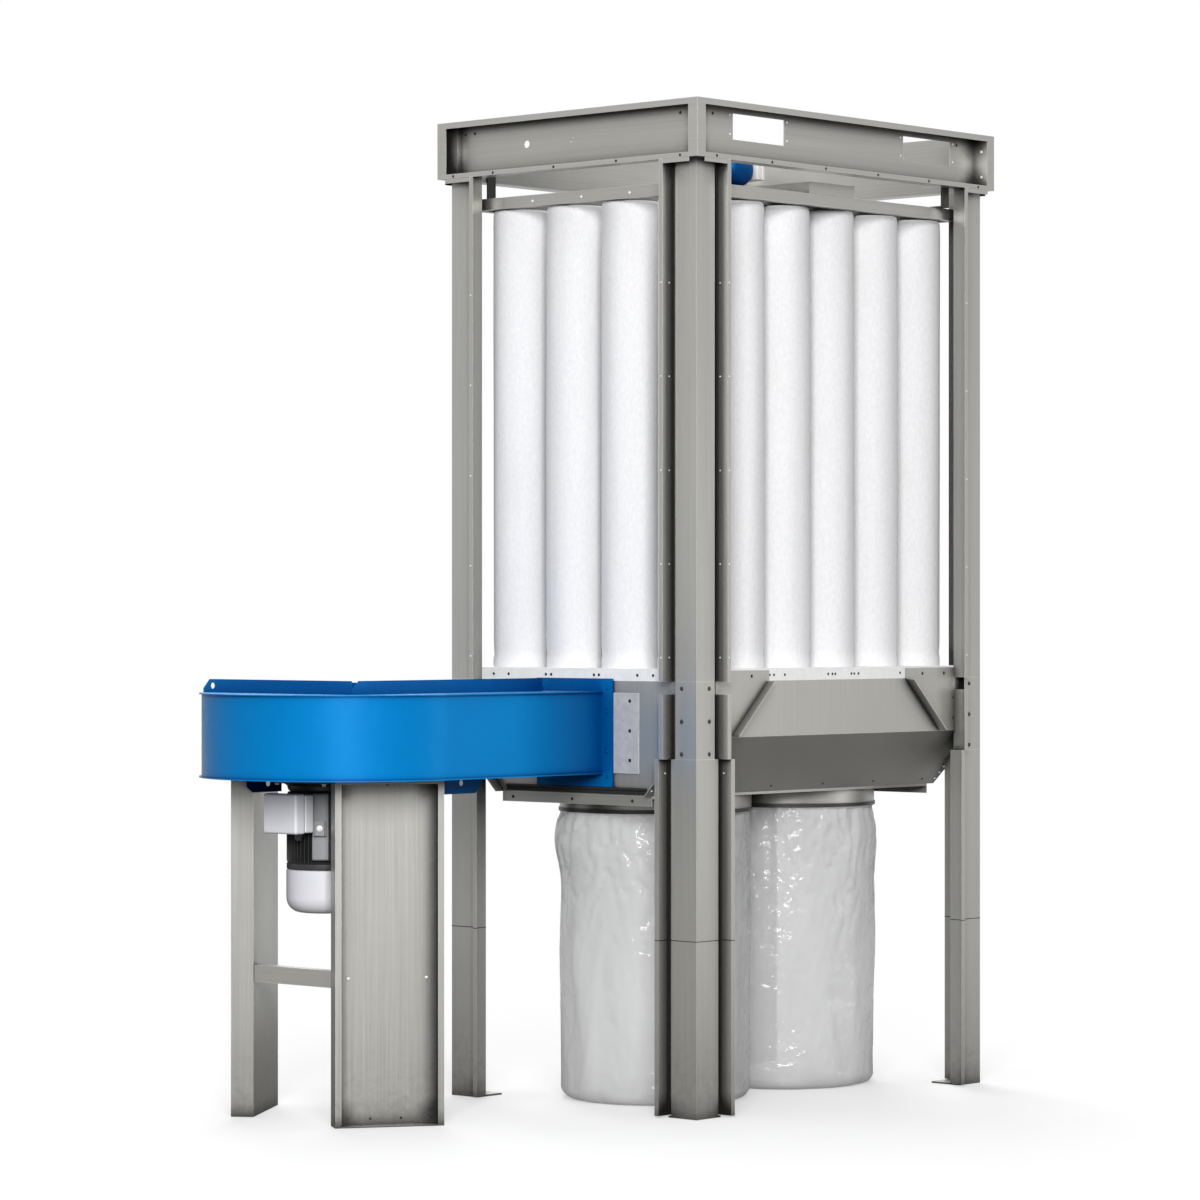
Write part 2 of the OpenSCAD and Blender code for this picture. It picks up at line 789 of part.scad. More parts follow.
module fan_impeller() {
  wheel_r = inlet_r - wheel_gap;
  blade_start = hub_r / 2;
  blade_z = wheel_lift + blade_t / 2;
  color(dark) placed() at_axis() translate([0, 0, casing_z + recess_floor]) {
    cylinder(r = hub_r, h = wheel_h);
    translate([0, 0, wheel_lift]) cylinder(r = wheel_r, h = blade_t);
    for (i = [1:blades])
      rotate(i * 360 / blades) translate([blade_start, -blade_t / 2, blade_z])
        cube([wheel_r - blade_t - blade_start, blade_t, wheel_h - blade_t - blade_z]);
  }
}

module motor_body() {
  color(dark) placed() at_axis() {
    translate([0, 0, body_z]) cylinder(r = motor_r, h = motor_l);
    translate([0, 0, body_top]) cylinder(r = motor_flange_r, h = motor_flange_t);
    box([-terminal_seat, -terminal_neck / 2, terminal_top - terminal_h],
        [0, terminal_neck / 2, terminal_top]);
  }
}

module motor_cowl() {
  color(pale) placed() at_axis() translate([0, 0, body_z - cowl_l]) cylinder(r = motor_r, h = cowl_l);
}

module motor_terminal_box() {
  color(pale) placed() at_axis()
    box([-terminal_seat - terminal_d, -terminal_w / 2, terminal_top - terminal_h],
        [-terminal_seat, terminal_w / 2, terminal_top]);
}

// Draws its children in the frame of a stand leg: X along its web, +Y towards the fan's axis.
module at_leg(far) {
  at_axis() mirror([0, far, 0]) rotate(-stand_turn) translate([stand_shift, -stand_off, 0]) children();
}

// Channel leg, open away from the axis, with a foot plate and a flange at its top.
module stand_leg() {
  half = stand_w / 2;
  linear_extrude(plate_under) {
    translate([-half, -sheet]) square([stand_w, sheet]);
    for (side = [0, 1])
      mirror([side, 0]) {
        translate([-half, -stand_depth]) square([sheet, stand_depth]);
        translate([-half, -stand_depth]) square([stand_lip, sheet]);
      }
  }
  box([-half + sheet, -stand_cap, plate_under - sheet], [half - sheet, -sheet, plate_under]);
  difference() {
    box([-half + sheet, -stand_depth, 0], [half - sheet, -sheet, sheet]);
    for (side = [-1, 1])
      translate([side * stand_w / 4, -stand_depth / 2, -cut]) cylinder(r = anchor_r, h = sheet + 2 * cut);
  }
}

module stand_leg_near() {
  color(grey) placed() at_leg(0) stand_leg();
}

module stand_leg_far() {
  color(grey) placed() at_leg(1) stand_leg();
}

module stand_cross_bar() {
  reach = stand_off + stand_w;
  color(grey) placed() difference() {
    at_axis() translate([-bar_off, -reach, bar_z]) difference() {
      cube([bar_w, 2 * reach, bar_h]);
      translate([sheet, -cut, -cut]) cube([bar_w, 2 * reach + 2 * cut, bar_h - sheet + cut]);
    }
    for (far = [0, 1])
      at_leg(far) translate([-reach, -2 * reach, 0]) cube([2 * reach, 2 * reach, frame_h]);
  }
}

upper_post(false, false);  // post_front_left
upper_post(true, false);  // post_front_right
upper_post(false, true);  // post_rear_left
upper_post(true, true);  // post_rear_right
post_sleeves();
post_splices();
hopper_legs();
leg_extensions();
top_frame_front();
top_frame_rear();
top_frame_left();
top_frame_right();
bag_frame();
shaker_beam();
shaker_motor();
shaker_terminal_box();
hangers();
filter_bags_row(0);  // filter_bags_row_1
filter_bags_row(1);  // filter_bags_row_2
filter_bags_row(2);  // filter_bags_row_3
filter_bags_row(3);  // filter_bags_row_4
tube_sheet();
hopper_front_wall();
hopper_rear_wall();
hopper_end_left();
hopper_end_right();
hopper_bottom();
corner_gussets();
sack_collars();
sack_straps();
sack(-1);  // sack_left
sack(1);  // sack_right
inlet_plate();
fan_casing();
fan_top_plate();
fan_bottom_plate();
fan_outlet_flange();
fan_upstands();
fan_keels();
fan_impeller();
motor_body();
motor_cowl();
motor_terminal_box();
stand_leg_near();
stand_leg_far();
stand_cross_bar();
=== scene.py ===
import json
import math

import bmesh
import bpy
from mathutils import Matrix, Vector, noise


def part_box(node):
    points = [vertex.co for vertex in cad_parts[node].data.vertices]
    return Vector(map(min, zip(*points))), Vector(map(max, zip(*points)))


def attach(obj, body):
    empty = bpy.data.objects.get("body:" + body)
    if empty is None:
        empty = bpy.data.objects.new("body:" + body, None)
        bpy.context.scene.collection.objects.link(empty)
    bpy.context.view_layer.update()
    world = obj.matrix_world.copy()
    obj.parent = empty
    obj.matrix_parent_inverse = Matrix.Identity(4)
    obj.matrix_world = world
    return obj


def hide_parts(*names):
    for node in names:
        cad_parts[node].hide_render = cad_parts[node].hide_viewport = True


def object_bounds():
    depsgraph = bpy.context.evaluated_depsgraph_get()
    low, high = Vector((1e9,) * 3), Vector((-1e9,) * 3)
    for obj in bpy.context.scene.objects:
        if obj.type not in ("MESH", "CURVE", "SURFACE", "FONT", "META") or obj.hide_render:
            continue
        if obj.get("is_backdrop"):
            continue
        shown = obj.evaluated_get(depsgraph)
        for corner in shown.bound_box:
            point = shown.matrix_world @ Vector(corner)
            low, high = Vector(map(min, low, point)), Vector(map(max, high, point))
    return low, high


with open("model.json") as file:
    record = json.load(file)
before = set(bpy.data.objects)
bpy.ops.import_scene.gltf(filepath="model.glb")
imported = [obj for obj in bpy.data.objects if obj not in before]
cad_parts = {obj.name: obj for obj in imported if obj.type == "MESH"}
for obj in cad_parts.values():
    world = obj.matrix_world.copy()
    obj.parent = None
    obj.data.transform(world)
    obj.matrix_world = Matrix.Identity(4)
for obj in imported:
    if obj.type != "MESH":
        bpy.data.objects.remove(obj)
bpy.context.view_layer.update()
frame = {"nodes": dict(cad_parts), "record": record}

NODES = frame["nodes"]
UP = Vector((0, 0, 1))
TAU = 2 * math.pi

# Camera, fitted to the photo's lines
CAMERA_PLACE = (-10.6665, -9.7606, 1.638)
CAMERA_HEADING = -47.8
CAMERA_LENS = 128.9
CAMERA_SHIFT = 0.0108

# The front left post's outer corner, from which places on the collector are measured
POST_LIP = 0.035
post_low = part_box("post_front_left")[0]
CORNER = Vector((post_low.x + POST_LIP, post_low.y + POST_LIP, 0))
far_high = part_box("post_rear_right")[1]
FRAME_W = far_high.x - POST_LIP - CORNER.x
FRAME_D = far_high.y - POST_LIP - CORNER.y


def at(x, y, z):
    """A point in metres from the front left post's corner."""
    return CORNER + Vector((x, y, z))


# Materials


def srgb(red, green, blue):
    """The linear colour of an sRGB triple from 0 to 255."""

    def linear(value):
        value /= 255
        return value / 12.92 if value <= 0.04045 else ((value + 0.055) / 1.055) ** 2.4

    return (linear(red), linear(green), linear(blue), 1.0)


class Shader:
    """One procedural material and the few node patterns that it is made of."""

    def __init__(self, name):
        self.material = bpy.data.materials.new(name)
        self.material.use_nodes = True
        self.tree = self.material.node_tree
        self.tree.nodes.clear()
        self.out = self.node("ShaderNodeOutputMaterial")
        self.bsdf = self.node("ShaderNodeBsdfPrincipled")
        self.link(self.bsdf.outputs["BSDF"], self.out.inputs["Surface"])
        self.coords = self.node("ShaderNodeTexCoord").outputs["Object"]

    def node(self, kind, **values):
        made = self.tree.nodes.new(kind)
        for key, value in values.items():
            made.inputs[key.replace("_", " ")].default_value = value
        return made

    def link(self, source, target):
        self.tree.links.new(source, target)

    def noise(self, stretch, detail=4.0):
        """Noise from 0 to 1, with so many spots to the metre along each axis."""
        mapping = self.node("ShaderNodeMapping", Scale=stretch)
        self.link(self.coords, mapping.inputs["Vector"])
        texture = self.node("ShaderNodeTexNoise", Scale=1.0, Detail=detail, Roughness=0.6)
        self.link(mapping.outputs["Vector"], texture.inputs["Vector"])
        return texture.outputs[0]

    def cells(self, scale):
        """Grey cells of a spangled surface."""
        texture = self.node("ShaderNodeTexVoronoi", Scale=scale)
        self.link(self.coords, texture.inputs["Vector"])
        split = self.node("ShaderNodeSeparateColor")
        self.link(texture.outputs["Color"], split.inputs[0])
        return split.outputs[0]

    def fit(self, value, low, high, start=0.0, end=1.0):
        """Maps low..high of a value to start..end."""
        node = self.node("ShaderNodeMapRange")
        for index, number in enumerate((low, high, start, end), 1):
            node.inputs[index].default_value = number
        self.link(value, node.inputs[0])
        return node.outputs[0]

    def times(self, first, second):
        node = self.node("ShaderNodeMath")
        node.operation = "MULTIPLY"
        self.link(first, node.inputs[0])
        self.link(second, node.inputs[1])
        return node.outputs[0]

    def plus(self, first, second):
        node = self.node("ShaderNodeMath")
        node.operation = "ADD"
        self.link(first, node.inputs[0])
        self.link(second, node.inputs[1])
        return node.outputs[0]

    def mix(self, factor, first, second):
        """A colour between two, each a socket or a fixed colour."""
        node = self.node("ShaderNodeMix")
        node.data_type = "RGBA"
        self.link(factor, node.inputs[0])
        for value, index in ((first, 6), (second, 7)):
            if isinstance(value, tuple):
                node.inputs[index].default_value = value
            else:
                self.link(value, node.inputs[index])
        return node.outputs[2]

    def edge(self, radius):
        """1 on the sharp edges of the shape, 0 on its flats."""
        bevel = self.node("ShaderNodeBevel", Radius=radius)
        bevel.samples = 4
        surface = self.node("ShaderNodeNewGeometry")
        product = self.node("ShaderNodeVectorMath")
        product.operation = "DOT_PRODUCT"
        self.link(bevel.outputs[0], product.inputs[0])
        self.link(surface.outputs["Normal"], product.inputs[1])
        return self.fit(product.outputs["Value"], 0.985, 0.85)

    def cavity(self, reach, open_face, deep_fold):
        """1 deep in a fold, 0 on open faces."""
        node = self.node("ShaderNodeAmbientOcclusion", Distance=reach)
        node.samples = 4
        return self.fit(node.outputs["AO"], open_face, deep_fold)

    def crest(self, value, width):
        """Narrow lines where a noise passes its middle."""
        return self.times(self.fit(value, 0.5 - width, 0.5), self.fit(value, 0.5 + width, 0.5))

    def height(self):
        split = self.node("ShaderNodeSeparateXYZ")
        self.link(self.coords, split.inputs[0])
        return split.outputs[2]

    def bump(self, value, depth, strength=1.0, layer="Normal"):
        node = self.node("ShaderNodeBump", Strength=strength, Distance=depth)
        self.link(value, node.inputs["Height"])
        self.link(node.outputs[0], self.bsdf.inputs[layer])

    def colour(self, socket):
        self.link(socket, self.bsdf.inputs["Base Color"])

    def rough(self, value, low, high):
        self.link(self.fit(value, 0.3, 0.7, low, high), self.bsdf.inputs["Roughness"])

    def set(self, **values):
        for key, value in values.items():
            self.bsdf.inputs[key.replace("_", " ")].default_value = value


def coated_steel(name, stretch, dark, light, metal, rough_low, rough_high):
    """Satin sheet steel with fine rolling streaks, cloudy patches, scuffed edges lightened further by a painted
    highlight, painted shade deep in its folds and dust near the floor.
    """
    s = Shader(name)
    streak = s.noise(stretch, 6.0)
    cloud = s.noise((2.2, 2.2, 1.3), 3.0)
    scuff = s.noise((38, 38, 38), 5.0)
    tone = s.mix(s.fit(streak, 0.35, 0.65), dark, light)
    tone = s.mix(s.fit(cloud, 0.45, 0.75, 0.0, 0.35), tone, dark)
    # painted highlight: every sharp edge is lightened at least a third of the way to near-white, and more where the
    # scuff noise adds wear
    edge_mark = s.times(s.edge(0.0022), s.fit(scuff, 0.35, 0.6, 0.35, 0.95))
    tone = s.mix(edge_mark, tone, srgb(226, 225, 221))
    dusty = s.times(s.fit(s.height(), 0.30, 0.0, 0.0, 0.5), s.fit(scuff, 0.4, 0.7))
    tone = s.mix(dusty, tone, srgb(128, 122, 112))
    # painted shade: ambient occlusion lays a near-black into folds, recesses and the gaps between parts
    tone = s.mix(s.fit(s.cavity(0.09, 0.79, 0.53), 0.0, 1.0, 0.0, 0.96), tone, srgb(31, 30, 28))
    s.colour(tone)
    s.rough(s.plus(s.times(streak, cloud), s.fit(scuff, 0.0, 1.0, 0.1, 0.3)), rough_low, rough_high)
    s.set(Metallic=metal)
    s.bump(streak, 0.0003, 0.10)
    return s.material


def painted(name, dark, light, rough_low, rough_high, chip, grain=260, depth=0.0003, gloss=0.5, metal=0.0, deep=None):
    """Paint with orange peel, faint cloudy tone and chipped edges, with painted shade in its corners and hollows if a
    tone is given for it.
    """
    s = Shader(name)
    cloud = s.noise((3, 3, 3), 3.0)
    peel = s.noise((grain, grain, grain), 2.0)
    scuff = s.noise((45, 45, 45), 5.0)
    tone = s.mix(s.fit(cloud, 0.3, 0.7), dark, light)
    if deep:
        # painted shade: ambient occlusion reaching almost half a metre lays the deep tone into corners and hollows
        tone = s.mix(s.fit(s.cavity(0.45, 0.94, 0.50), 0.0, 1.0, 0.0, 0.97), tone, deep)
    edge_mark = s.times(s.edge(0.0016), s.fit(scuff, 0.48, 0.7, 0.0, 0.7))
    s.colour(s.mix(edge_mark, tone, chip))
    s.rough(s.plus(s.times(cloud, scuff), s.fit(scuff, 0.0, 1.0, 0.1, 0.35)), rough_low, rough_high)
    s.set(Specular_IOR_Level=gloss, Metallic=metal)
    s.bump(peel, depth, 0.3)
    return s.material


def spangled_zinc(name, dark, light):
    """Galvanised sheet with faint spangle and a painted highlight on its sharp edges."""
    s = Shader(name)
    cell = s.cells(70.0)
    cloud = s.noise((4, 4, 4), 3.0)
    tone = s.mix(s.fit(cell, 0.2, 0.8, 0.35, 0.65), dark, light)
    tone = s.mix(s.fit(cloud, 0.5, 0.8, 0.0, 0.35), tone, dark)
    # painted highlight: the sharp edges are mixed to near-white
    s.colour(s.mix(s.edge(0.0016), tone, srgb(242, 242, 241)))
    s.rough(s.plus(s.times(cell, cloud), s.fit(cloud, 0.0, 1.0, 0.1, 0.3)), 0.38, 0.58)
    s.set(Metallic=0.15)
    s.bump(cloud, 0.0006, 0.2)
    return s.material


def needle_felt():
    s = Shader("felt")
    fibre = s.noise((900, 900, 420), 4.0)
    tuft = s.noise((120, 120, 60), 4.0)
    stain = s.noise((5, 5, 2), 3.0)
    tone = s.mix(s.fit(tuft, 0.3, 0.7), srgb(210, 210, 212), srgb(220, 220, 221))
    s.colour(s.mix(s.fit(stain, 0.55, 0.85, 0.0, 0.35), tone, srgb(200, 199, 196)))
    s.rough(tuft, 0.85, 0.98)
    s.set(Sheen_Weight=0.25, Sheen_Roughness=0.5, Specular_IOR_Level=0.25)
    s.bump(s.plus(fibre, tuft), 0.0006, 0.35)
    return s.material


def milky_film():
    """Thin polythene film: milky, a little see-through, with small crinkles and a soft gloss."""
    s = Shader("film")
    crinkle = s.noise((12, 12, 24), 3.0)
    crease = s.crest(s.noise((5, 5, 8), 2.0), 0.04)
    patch = s.fit(s.noise((3, 3, 3), 2.0), 0.44, 0.60, 0.25, 1.0)
    haze = s.noise((4, 4, 2), 3.0)
    tone = s.mix(s.fit(haze, 0.3, 0.7), srgb(236, 237, 237), srgb(243, 243, 243))
    s.colour(tone)
    s.rough(haze, 0.45, 0.6)
    s.set(Specular_IOR_Level=0.2, Coat_Weight=1.0, Coat_Roughness=0.12)
    upper = s.times(s.fit(s.height(), 0.30, 0.75, 0.3, 1.0), patch)
    s.bump(s.times(s.plus(crinkle, s.fit(crease, 0.0, 1.0, 0.0, 0.5)), upper), 0.024, 0.9, "Coat Normal")
    s.bump(s.times(crinkle, upper), 0.004, 0.14)
    through = s.node("ShaderNodeBsdfTranslucent")
    s.link(tone, through.inputs["Color"])
    clear = s.node("ShaderNodeBsdfTransparent")
    body = s.node("ShaderNodeMixShader", Fac=0.42)
    s.link(s.bsdf.outputs["BSDF"], body.inputs[1])
    s.link(through.outputs[0], body.inputs[2])
    whole = s.node("ShaderNodeMixShader", Fac=0.32)
    s.link(body.outputs[0], whole.inputs[1])
    s.link(clear.outputs[0], whole.inputs[2])
    s.link(whole.outputs[0], s.out.inputs["Surface"])
    return s.material


STEEL_DARK, STEEL_LIGHT = srgb(160, 159, 154), srgb(169, 168, 163)
UPRIGHT = coated_steel("grey_coat_upright", (240, 240, 1.6), STEEL_DARK, STEEL_LIGHT, 0.55, 0.30, 0.48)
LEVEL = coated_steel("grey_coat_level", (1.6, 1.6, 240), STEEL_DARK, STEEL_LIGHT, 0.55, 0.30, 0.48)
ZINC = spangled_zinc("zinc", srgb(218, 218, 217), srgb(238, 238, 237))
# a darker copy of the zinc: painted shade for the inlet plate under the fan
SHADED_ZINC = spangled_zinc("zinc_painted_shade", srgb(166, 165, 167), srgb(188, 187, 189))
# the deep tone is painted shade in the fan casing's hollows and along it toward the outlet
BLUE = painted("fan_blue", srgb(0, 114, 180), srgb(0, 120, 187), 0.30, 0.44, srgb(40, 112, 160), gloss=0.06, metal=0.12,
               deep=srgb(0, 46, 108))
BLACK = painted("motor_black", srgb(30, 30, 31), srgb(40, 40, 41), 0.42, 0.6, srgb(96, 96, 98), 420, 0.0006)
MOTOR_GREY = painted("motor_grey", srgb(206, 206, 212), srgb(220, 220, 225), 0.36, 0.52, srgb(170, 170, 174))
CAST_GREY = painted("motor_cast", srgb(120, 121, 124), srgb(142, 143, 146), 0.38, 0.55, srgb(190, 190, 192), 420, 0.0006)
DARK = painted("dark_steel", srgb(44, 44, 43), srgb(56, 55, 53), 0.36, 0.55, srgb(128, 126, 122), metal=0.4)
FELT = needle_felt()
FILM = milky_film()
PLASTIC = painted("white_plastic", srgb(226, 225, 220), srgb(236, 235, 231), 0.42, 0.55, srgb(205, 204, 199))
# near-black for the painted shade in punched holes, the painted shadow above the hopper's bottom strip and the dark
# seams of the leg joints
HOLE = painted("hole_dark", srgb(16, 16, 15), srgb(24, 23, 22), 0.7, 0.9, srgb(34, 33, 32))

LEVEL_NODES = {
    "top_frame_front", "top_frame_rear", "top_frame_left", "top_frame_right", "bag_frame", "shaker_beam",
    "hopper_bottom", "sack_collars", "stand_cross_bar",
}
SLOT_LOOKS = {
    "grey_coat": UPRIGHT, "zinc": ZINC, "fan_blue": BLUE, "motor_black": BLACK, "motor_grey": MOTOR_GREY,
    "dark_steel": DARK, "felt": FELT, "film": FILM, "white_plastic": PLASTIC,
}
for subpart in frame["record"]["subparts"]:
    look = LEVEL if subpart["node"] in LEVEL_NODES else SLOT_LOOKS[subpart["material_slot"]]
    # painted shade: the inlet plate gets the darker copy of the zinc
    if subpart["node"] == "inlet_plate":
        look = SHADED_ZINC
    for material_slot in NODES[subpart["node"]].material_slots:
        material_slot.material = look


# Mesh tools


def facing(place, axis):
    """A matrix that puts the local +Z along axis at a place."""
    turn = UP.rotation_difference(Vector(axis)).to_matrix().to_4x4()
    return Matrix.Translation(place) @ turn


def lathe(bm, profile, segments, place, closed=False, turn=0.0):
    """Turns a profile of (radius, height) pairs about the local +Z of a matrix."""
    rings = []
    for radius, height in profile:
        if radius < 1e-6:
            rings.append([bm.verts.new(place @ Vector((0, 0, height)))])
            continue
        ring = []
        for step in range(segments):
            angle = turn + TAU * step / segments
            ring.append(bm.verts.new(place @ Vector((radius * math.cos(angle), radius * math.sin(angle), height))))
        rings.append(ring)
    pairs = list(zip(rings, rings[1:]))
    if closed:
        pairs.append((rings[-1], rings[0]))
    for lower, upper in pairs:
        for step in range(segments):
            after = (step + 1) % segments
            corners = [lower[step % len(lower)], lower[after % len(lower)],
                       upper[after % len(upper)], upper[step % len(upper)]]
            bm.faces.new(list(dict.fromkeys(corners)))
    return rings


def rounded_box(bm, low, high, radius, segments=3, place=None):
    """A box with its edges rounded off."""
    low, high = Vector(low), Vector(high)
    made = bmesh.ops.create_cube(bm, size=1.0)["verts"]
    size, middle = high - low, (high + low) / 2
    for vert in made:
        vert.co = Vector((vert.co.x * size.x, vert.co.y * size.y, vert.co.z * size.z)) + middle
        if place is not None:
            vert.co = place @ vert.co
    edges = list({edge for vert in made for edge in vert.link_edges})
    bmesh.ops.bevel(bm, geom=edges, offset=radius, segments=segments, profile=0.5, affect="EDGES")


def hex_bolt(bm, place, axis, across, head):
    """A washer and a hexagon head with its chamfer, standing on a surface."""
    matrix = facing(place, axis)
    washer = 0.22 * head
    lathe(bm, [(0, 0), (across * 0.98, 0), (across * 0.98, washer * 0.7), (across * 0.9, washer), (0, washer)], 20,
          matrix)
    flat = across * 0.58
    lathe(bm, [(0, washer), (flat, washer), (flat, head * 0.9), (flat * 0.86, head), (0, head)], 6, matrix)


def pan_head(bm, place, axis, radius):
    """A low round screw or rivet head."""
    rise = 0.45 * radius
    profile = [(0, 0), (radius, 0), (radius, rise * 0.35), (radius * 0.85, rise * 0.75), (radius * 0.5, rise),
               (0, rise)]
    lathe(bm, profile, 14, facing(place, axis))


def rib(bm, near_side, far_side):
    """A thin rib between two outlines with the same number of points."""
    near = [bm.verts.new(point) for point in near_side]
    far = [bm.verts.new(point) for point in far_side]
    bm.faces.new(near)
    bm.faces.new(list(reversed(far)))
    for left in range(len(near)):
        right = (left + 1) % len(near)
        bm.faces.new((near[right], near[left], far[left], far[right]))


def piece(bm, name, look, replaced=(), sharp=38, closed=True):
    """Makes one named object of a mesh, in its place on the part."""
    if closed:
        bmesh.ops.recalc_face_normals(bm, faces=bm.faces)
    mesh = bpy.data.meshes.new(name)
    bm.to_mesh(mesh)
    bm.free()
    mesh.shade_smooth()
    mesh.set_sharp_from_angle(angle=math.radians(sharp))
    mesh.materials.append(look)
    made = bpy.data.objects.new(name, mesh)
    bpy.context.scene.collection.objects.link(made)
    if closed:
        made.modifiers.new("flat_faces", "WEIGHTED_NORMAL").keep_sharp = True
    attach(made, "root")
    if replaced:
        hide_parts(*replaced)
    return made


# Filter bags

BAG_COUNT = 6
BAG_SEGMENTS = 56
BAG_RISE = 0.045
CUFF_H = 0.034
SEAM_W = 0.009


def bag_radius(radius, angle, height, seed):
    """The wavy wall of a hanging felt tube."""
    wave = 0.0011 * math.sin(2 * angle + seed * 1.7 + 1.1 * height)
    wave += 0.0007 * math.sin(5 * angle + seed * 2.9 - 1.6 * height)
    wave += 0.0011 * noise.noise(Vector((3 * math.cos(angle), 3 * math.sin(angle), 2.2 * height + 7.3 * seed)))
    return radius - 0.0015 + wave


def filter_bag(bm, centre, radius, base, top, seed):
    """A felt tube with a snap cuff, a lapped seam and a sewn head, open at its mouth."""
    levels = [(base, 0.985, 0.2), (base + CUFF_H * 0.5, 0.992, 0.2), (base + CUFF_H, 0.985, 0.4),
              (base + CUFF_H * 1.25, 0.965, 0.6), (base + CUFF_H * 1.9, 0.992, 1.0)]
    count = int((top - base) / BAG_RISE)
    for step in range(2, count):
        levels.append((base + (top - base) * step / count, 1.0, 1.0))
    levels += [(top - 0.016, 0.99, 0.7), (top - 0.007, 0.965, 0.4), (top - 0.002, 0.92, 0.2), (top - 0.001, 0.45, 0.0)]
    previous = None
    for height, share, soft in levels:
        ring = []
        for step in range(BAG_SEGMENTS):
            angle = TAU * step / BAG_SEGMENTS
            r = share * (radius + soft * (bag_radius(radius, angle, height, seed) - radius))
            ring.append(bm.verts.new((centre.x + r * math.cos(angle), centre.y + r * math.sin(angle), height)))
        if previous:
            for step in range(BAG_SEGMENTS):
                after = (step + 1) % BAG_SEGMENTS
                bm.faces.new((previous[step], previous[after], ring[after], ring[step]))
        previous = ring
    head = bm.verts.new((centre.x, centre.y, top - 0.001))
    for step in range(BAG_SEGMENTS):
        bm.faces.new((previous[step], previous[(step + 1) % BAG_SEGMENTS], head))
    seam_angle = 0.6 + 2.4 * noise.noise(Vector((seed, 0.5, 0.25)))
    half = SEAM_W / radius / 2
    before = None
    for height, share, soft in levels[4:-3]:
        r = bag_radius(radius, seam_angle, height, seed)
        row = []
        for offset, rise in ((-half, 0.0), (-half * 0.7, 0.0012), (half * 0.7, 0.0012), (half, 0.0)):
            angle = seam_angle + offset
            row.append(bm.verts.new((centre.x + (r + rise) * math.cos(angle),
                                     centre.y + (r + rise) * math.sin(angle), height)))
        if before:
            for left in range(3):
                bm.faces.new((before[left], before[left + 1], row[left + 1], row[left]))
        before = row


for row_index in range(1, 5):
    node_name = f"filter_bags_row_{row_index}"
    low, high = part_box(node_name)
    bag_r = (high.y - low.y) / 2
    pitch = (high.x - low.x - 2 * bag_r) / (BAG_COUNT - 1)
    bags = bmesh.new()
    for bag_index in range(BAG_COUNT):
        middle = Vector((low.x + bag_r + bag_index * pitch, low.y + bag_r, 0))
        filter_bag(bags, middle, bag_r, low.z, high.z, row_index * 10 + bag_index)
    made = piece(bags, f"felt_bags_row_{row_index}", FELT, (node_name,), 60, closed=False)

# Dust sacks

SACK_SEGMENTS = 176
SACK_ROUND = 0.040
STRAP_H = 0.012


def sack_wall(radius, top, angle, height, seed, bulge):
    """The radius of the film at one point: gathers under the strap, dents and creases, fuller near the foot."""
    down = top - height
    folds = math.exp(-down / 0.07)
    swirl = noise.noise(Vector((2.5 * math.cos(angle), 2.5 * math.sin(angle), seed)))
    gather = 0.0045 * folds * (math.sin(34 * angle + 6 * swirl) - 1)
    point = Vector((3.2 * math.cos(angle) + seed, 3.2 * math.sin(angle), 3.0 * height))
    dent = 0.0095 * noise.noise(point) * min(1.0, down / 0.12)
    crease_at = Vector((7.5 * math.cos(angle), 7.5 * math.sin(angle) + seed, 9 * height + 2 * swirl))
    crease = (1 - abs(noise.noise(crease_at))) ** 7
    upper = 0.35 + 0.65 * math.exp(-((down - 0.16) / 0.22) ** 2)
    belly = 0.003 * math.sin(math.pi * min(1.0, down / 0.9))
    bulge_angle, bulge_out = bulge
    side = max(0.0, math.cos(angle - bulge_angle)) ** 1.5
    shoulder = bulge_out * side * math.exp(-((down - 0.10) / 0.09) ** 2) * min(1.0, down / 0.03)
    return radius - 0.003 + belly + gather + dent + shoulder - 0.0085 * upper * crease


def sack(node_name, name, seed, bulge):
    """A film sack with its mouth under the strap, hanging to the floor."""
    low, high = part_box(node_name)
    radius, top = (high.x - low.x) / 2, high.z
    centre = (low + high) / 2
    bm = bmesh.new()
    rows = [("neck", top + STRAP_H - 0.002), ("neck", top + 0.001)]
    rows += [("wall", top - 0.006 - (top - 0.006 - SACK_ROUND) * (step / 96) ** 1.15) for step in range(97)]
    rows += [("foot", math.radians(step * 90 / 8)) for step in range(1, 9)]
    rows += [("base", share) for share in (0.8, 0.6, 0.4, 0.2)]
    previous = None
    for kind, value in rows:
        ring = []
        for step in range(SACK_SEGMENTS):
            angle = TAU * step / SACK_SEGMENTS
            if kind == "neck":
                height, r = value, radius + 0.00115
            elif kind == "wall":
                height, r = value, sack_wall(radius, top, angle, value, seed, bulge)
            elif kind == "foot":
                edge = sack_wall(radius, top, angle, SACK_ROUND, seed, bulge)
                ripple = 0.003 * math.sin(9 * angle + seed) * math.sin(2 * value)
                height = SACK_ROUND * (1 - math.sin(value)) + 0.001
                r = edge - SACK_ROUND * (1 - math.cos(value)) + ripple
            else:
                height = 0.001
                r = value * (radius - SACK_ROUND)
            ring.append(bm.verts.new((centre.x + r * math.cos(angle), centre.y + r * math.sin(angle), height)))
        if previous:
            for step in range(SACK_SEGMENTS):
                after = (step + 1) % SACK_SEGMENTS
                bm.faces.new((previous[after], previous[step], ring[step], ring[after]))
        previous = ring
    middle = bm.verts.new((centre.x, centre.y, 0.001))
    for step in range(SACK_SEGMENTS):
        bm.faces.new((previous[(step + 1) % SACK_SEGMENTS], previous[step], middle))
    made = piece(bm, name, FILM, (node_name,), 80, closed=False)


sack("sack_left", "film_sack_left", 1.3, (math.radians(135), 0.022))
sack("sack_right", "film_sack_right", 4.1, (math.radians(310), 0.009))

# Fan motor

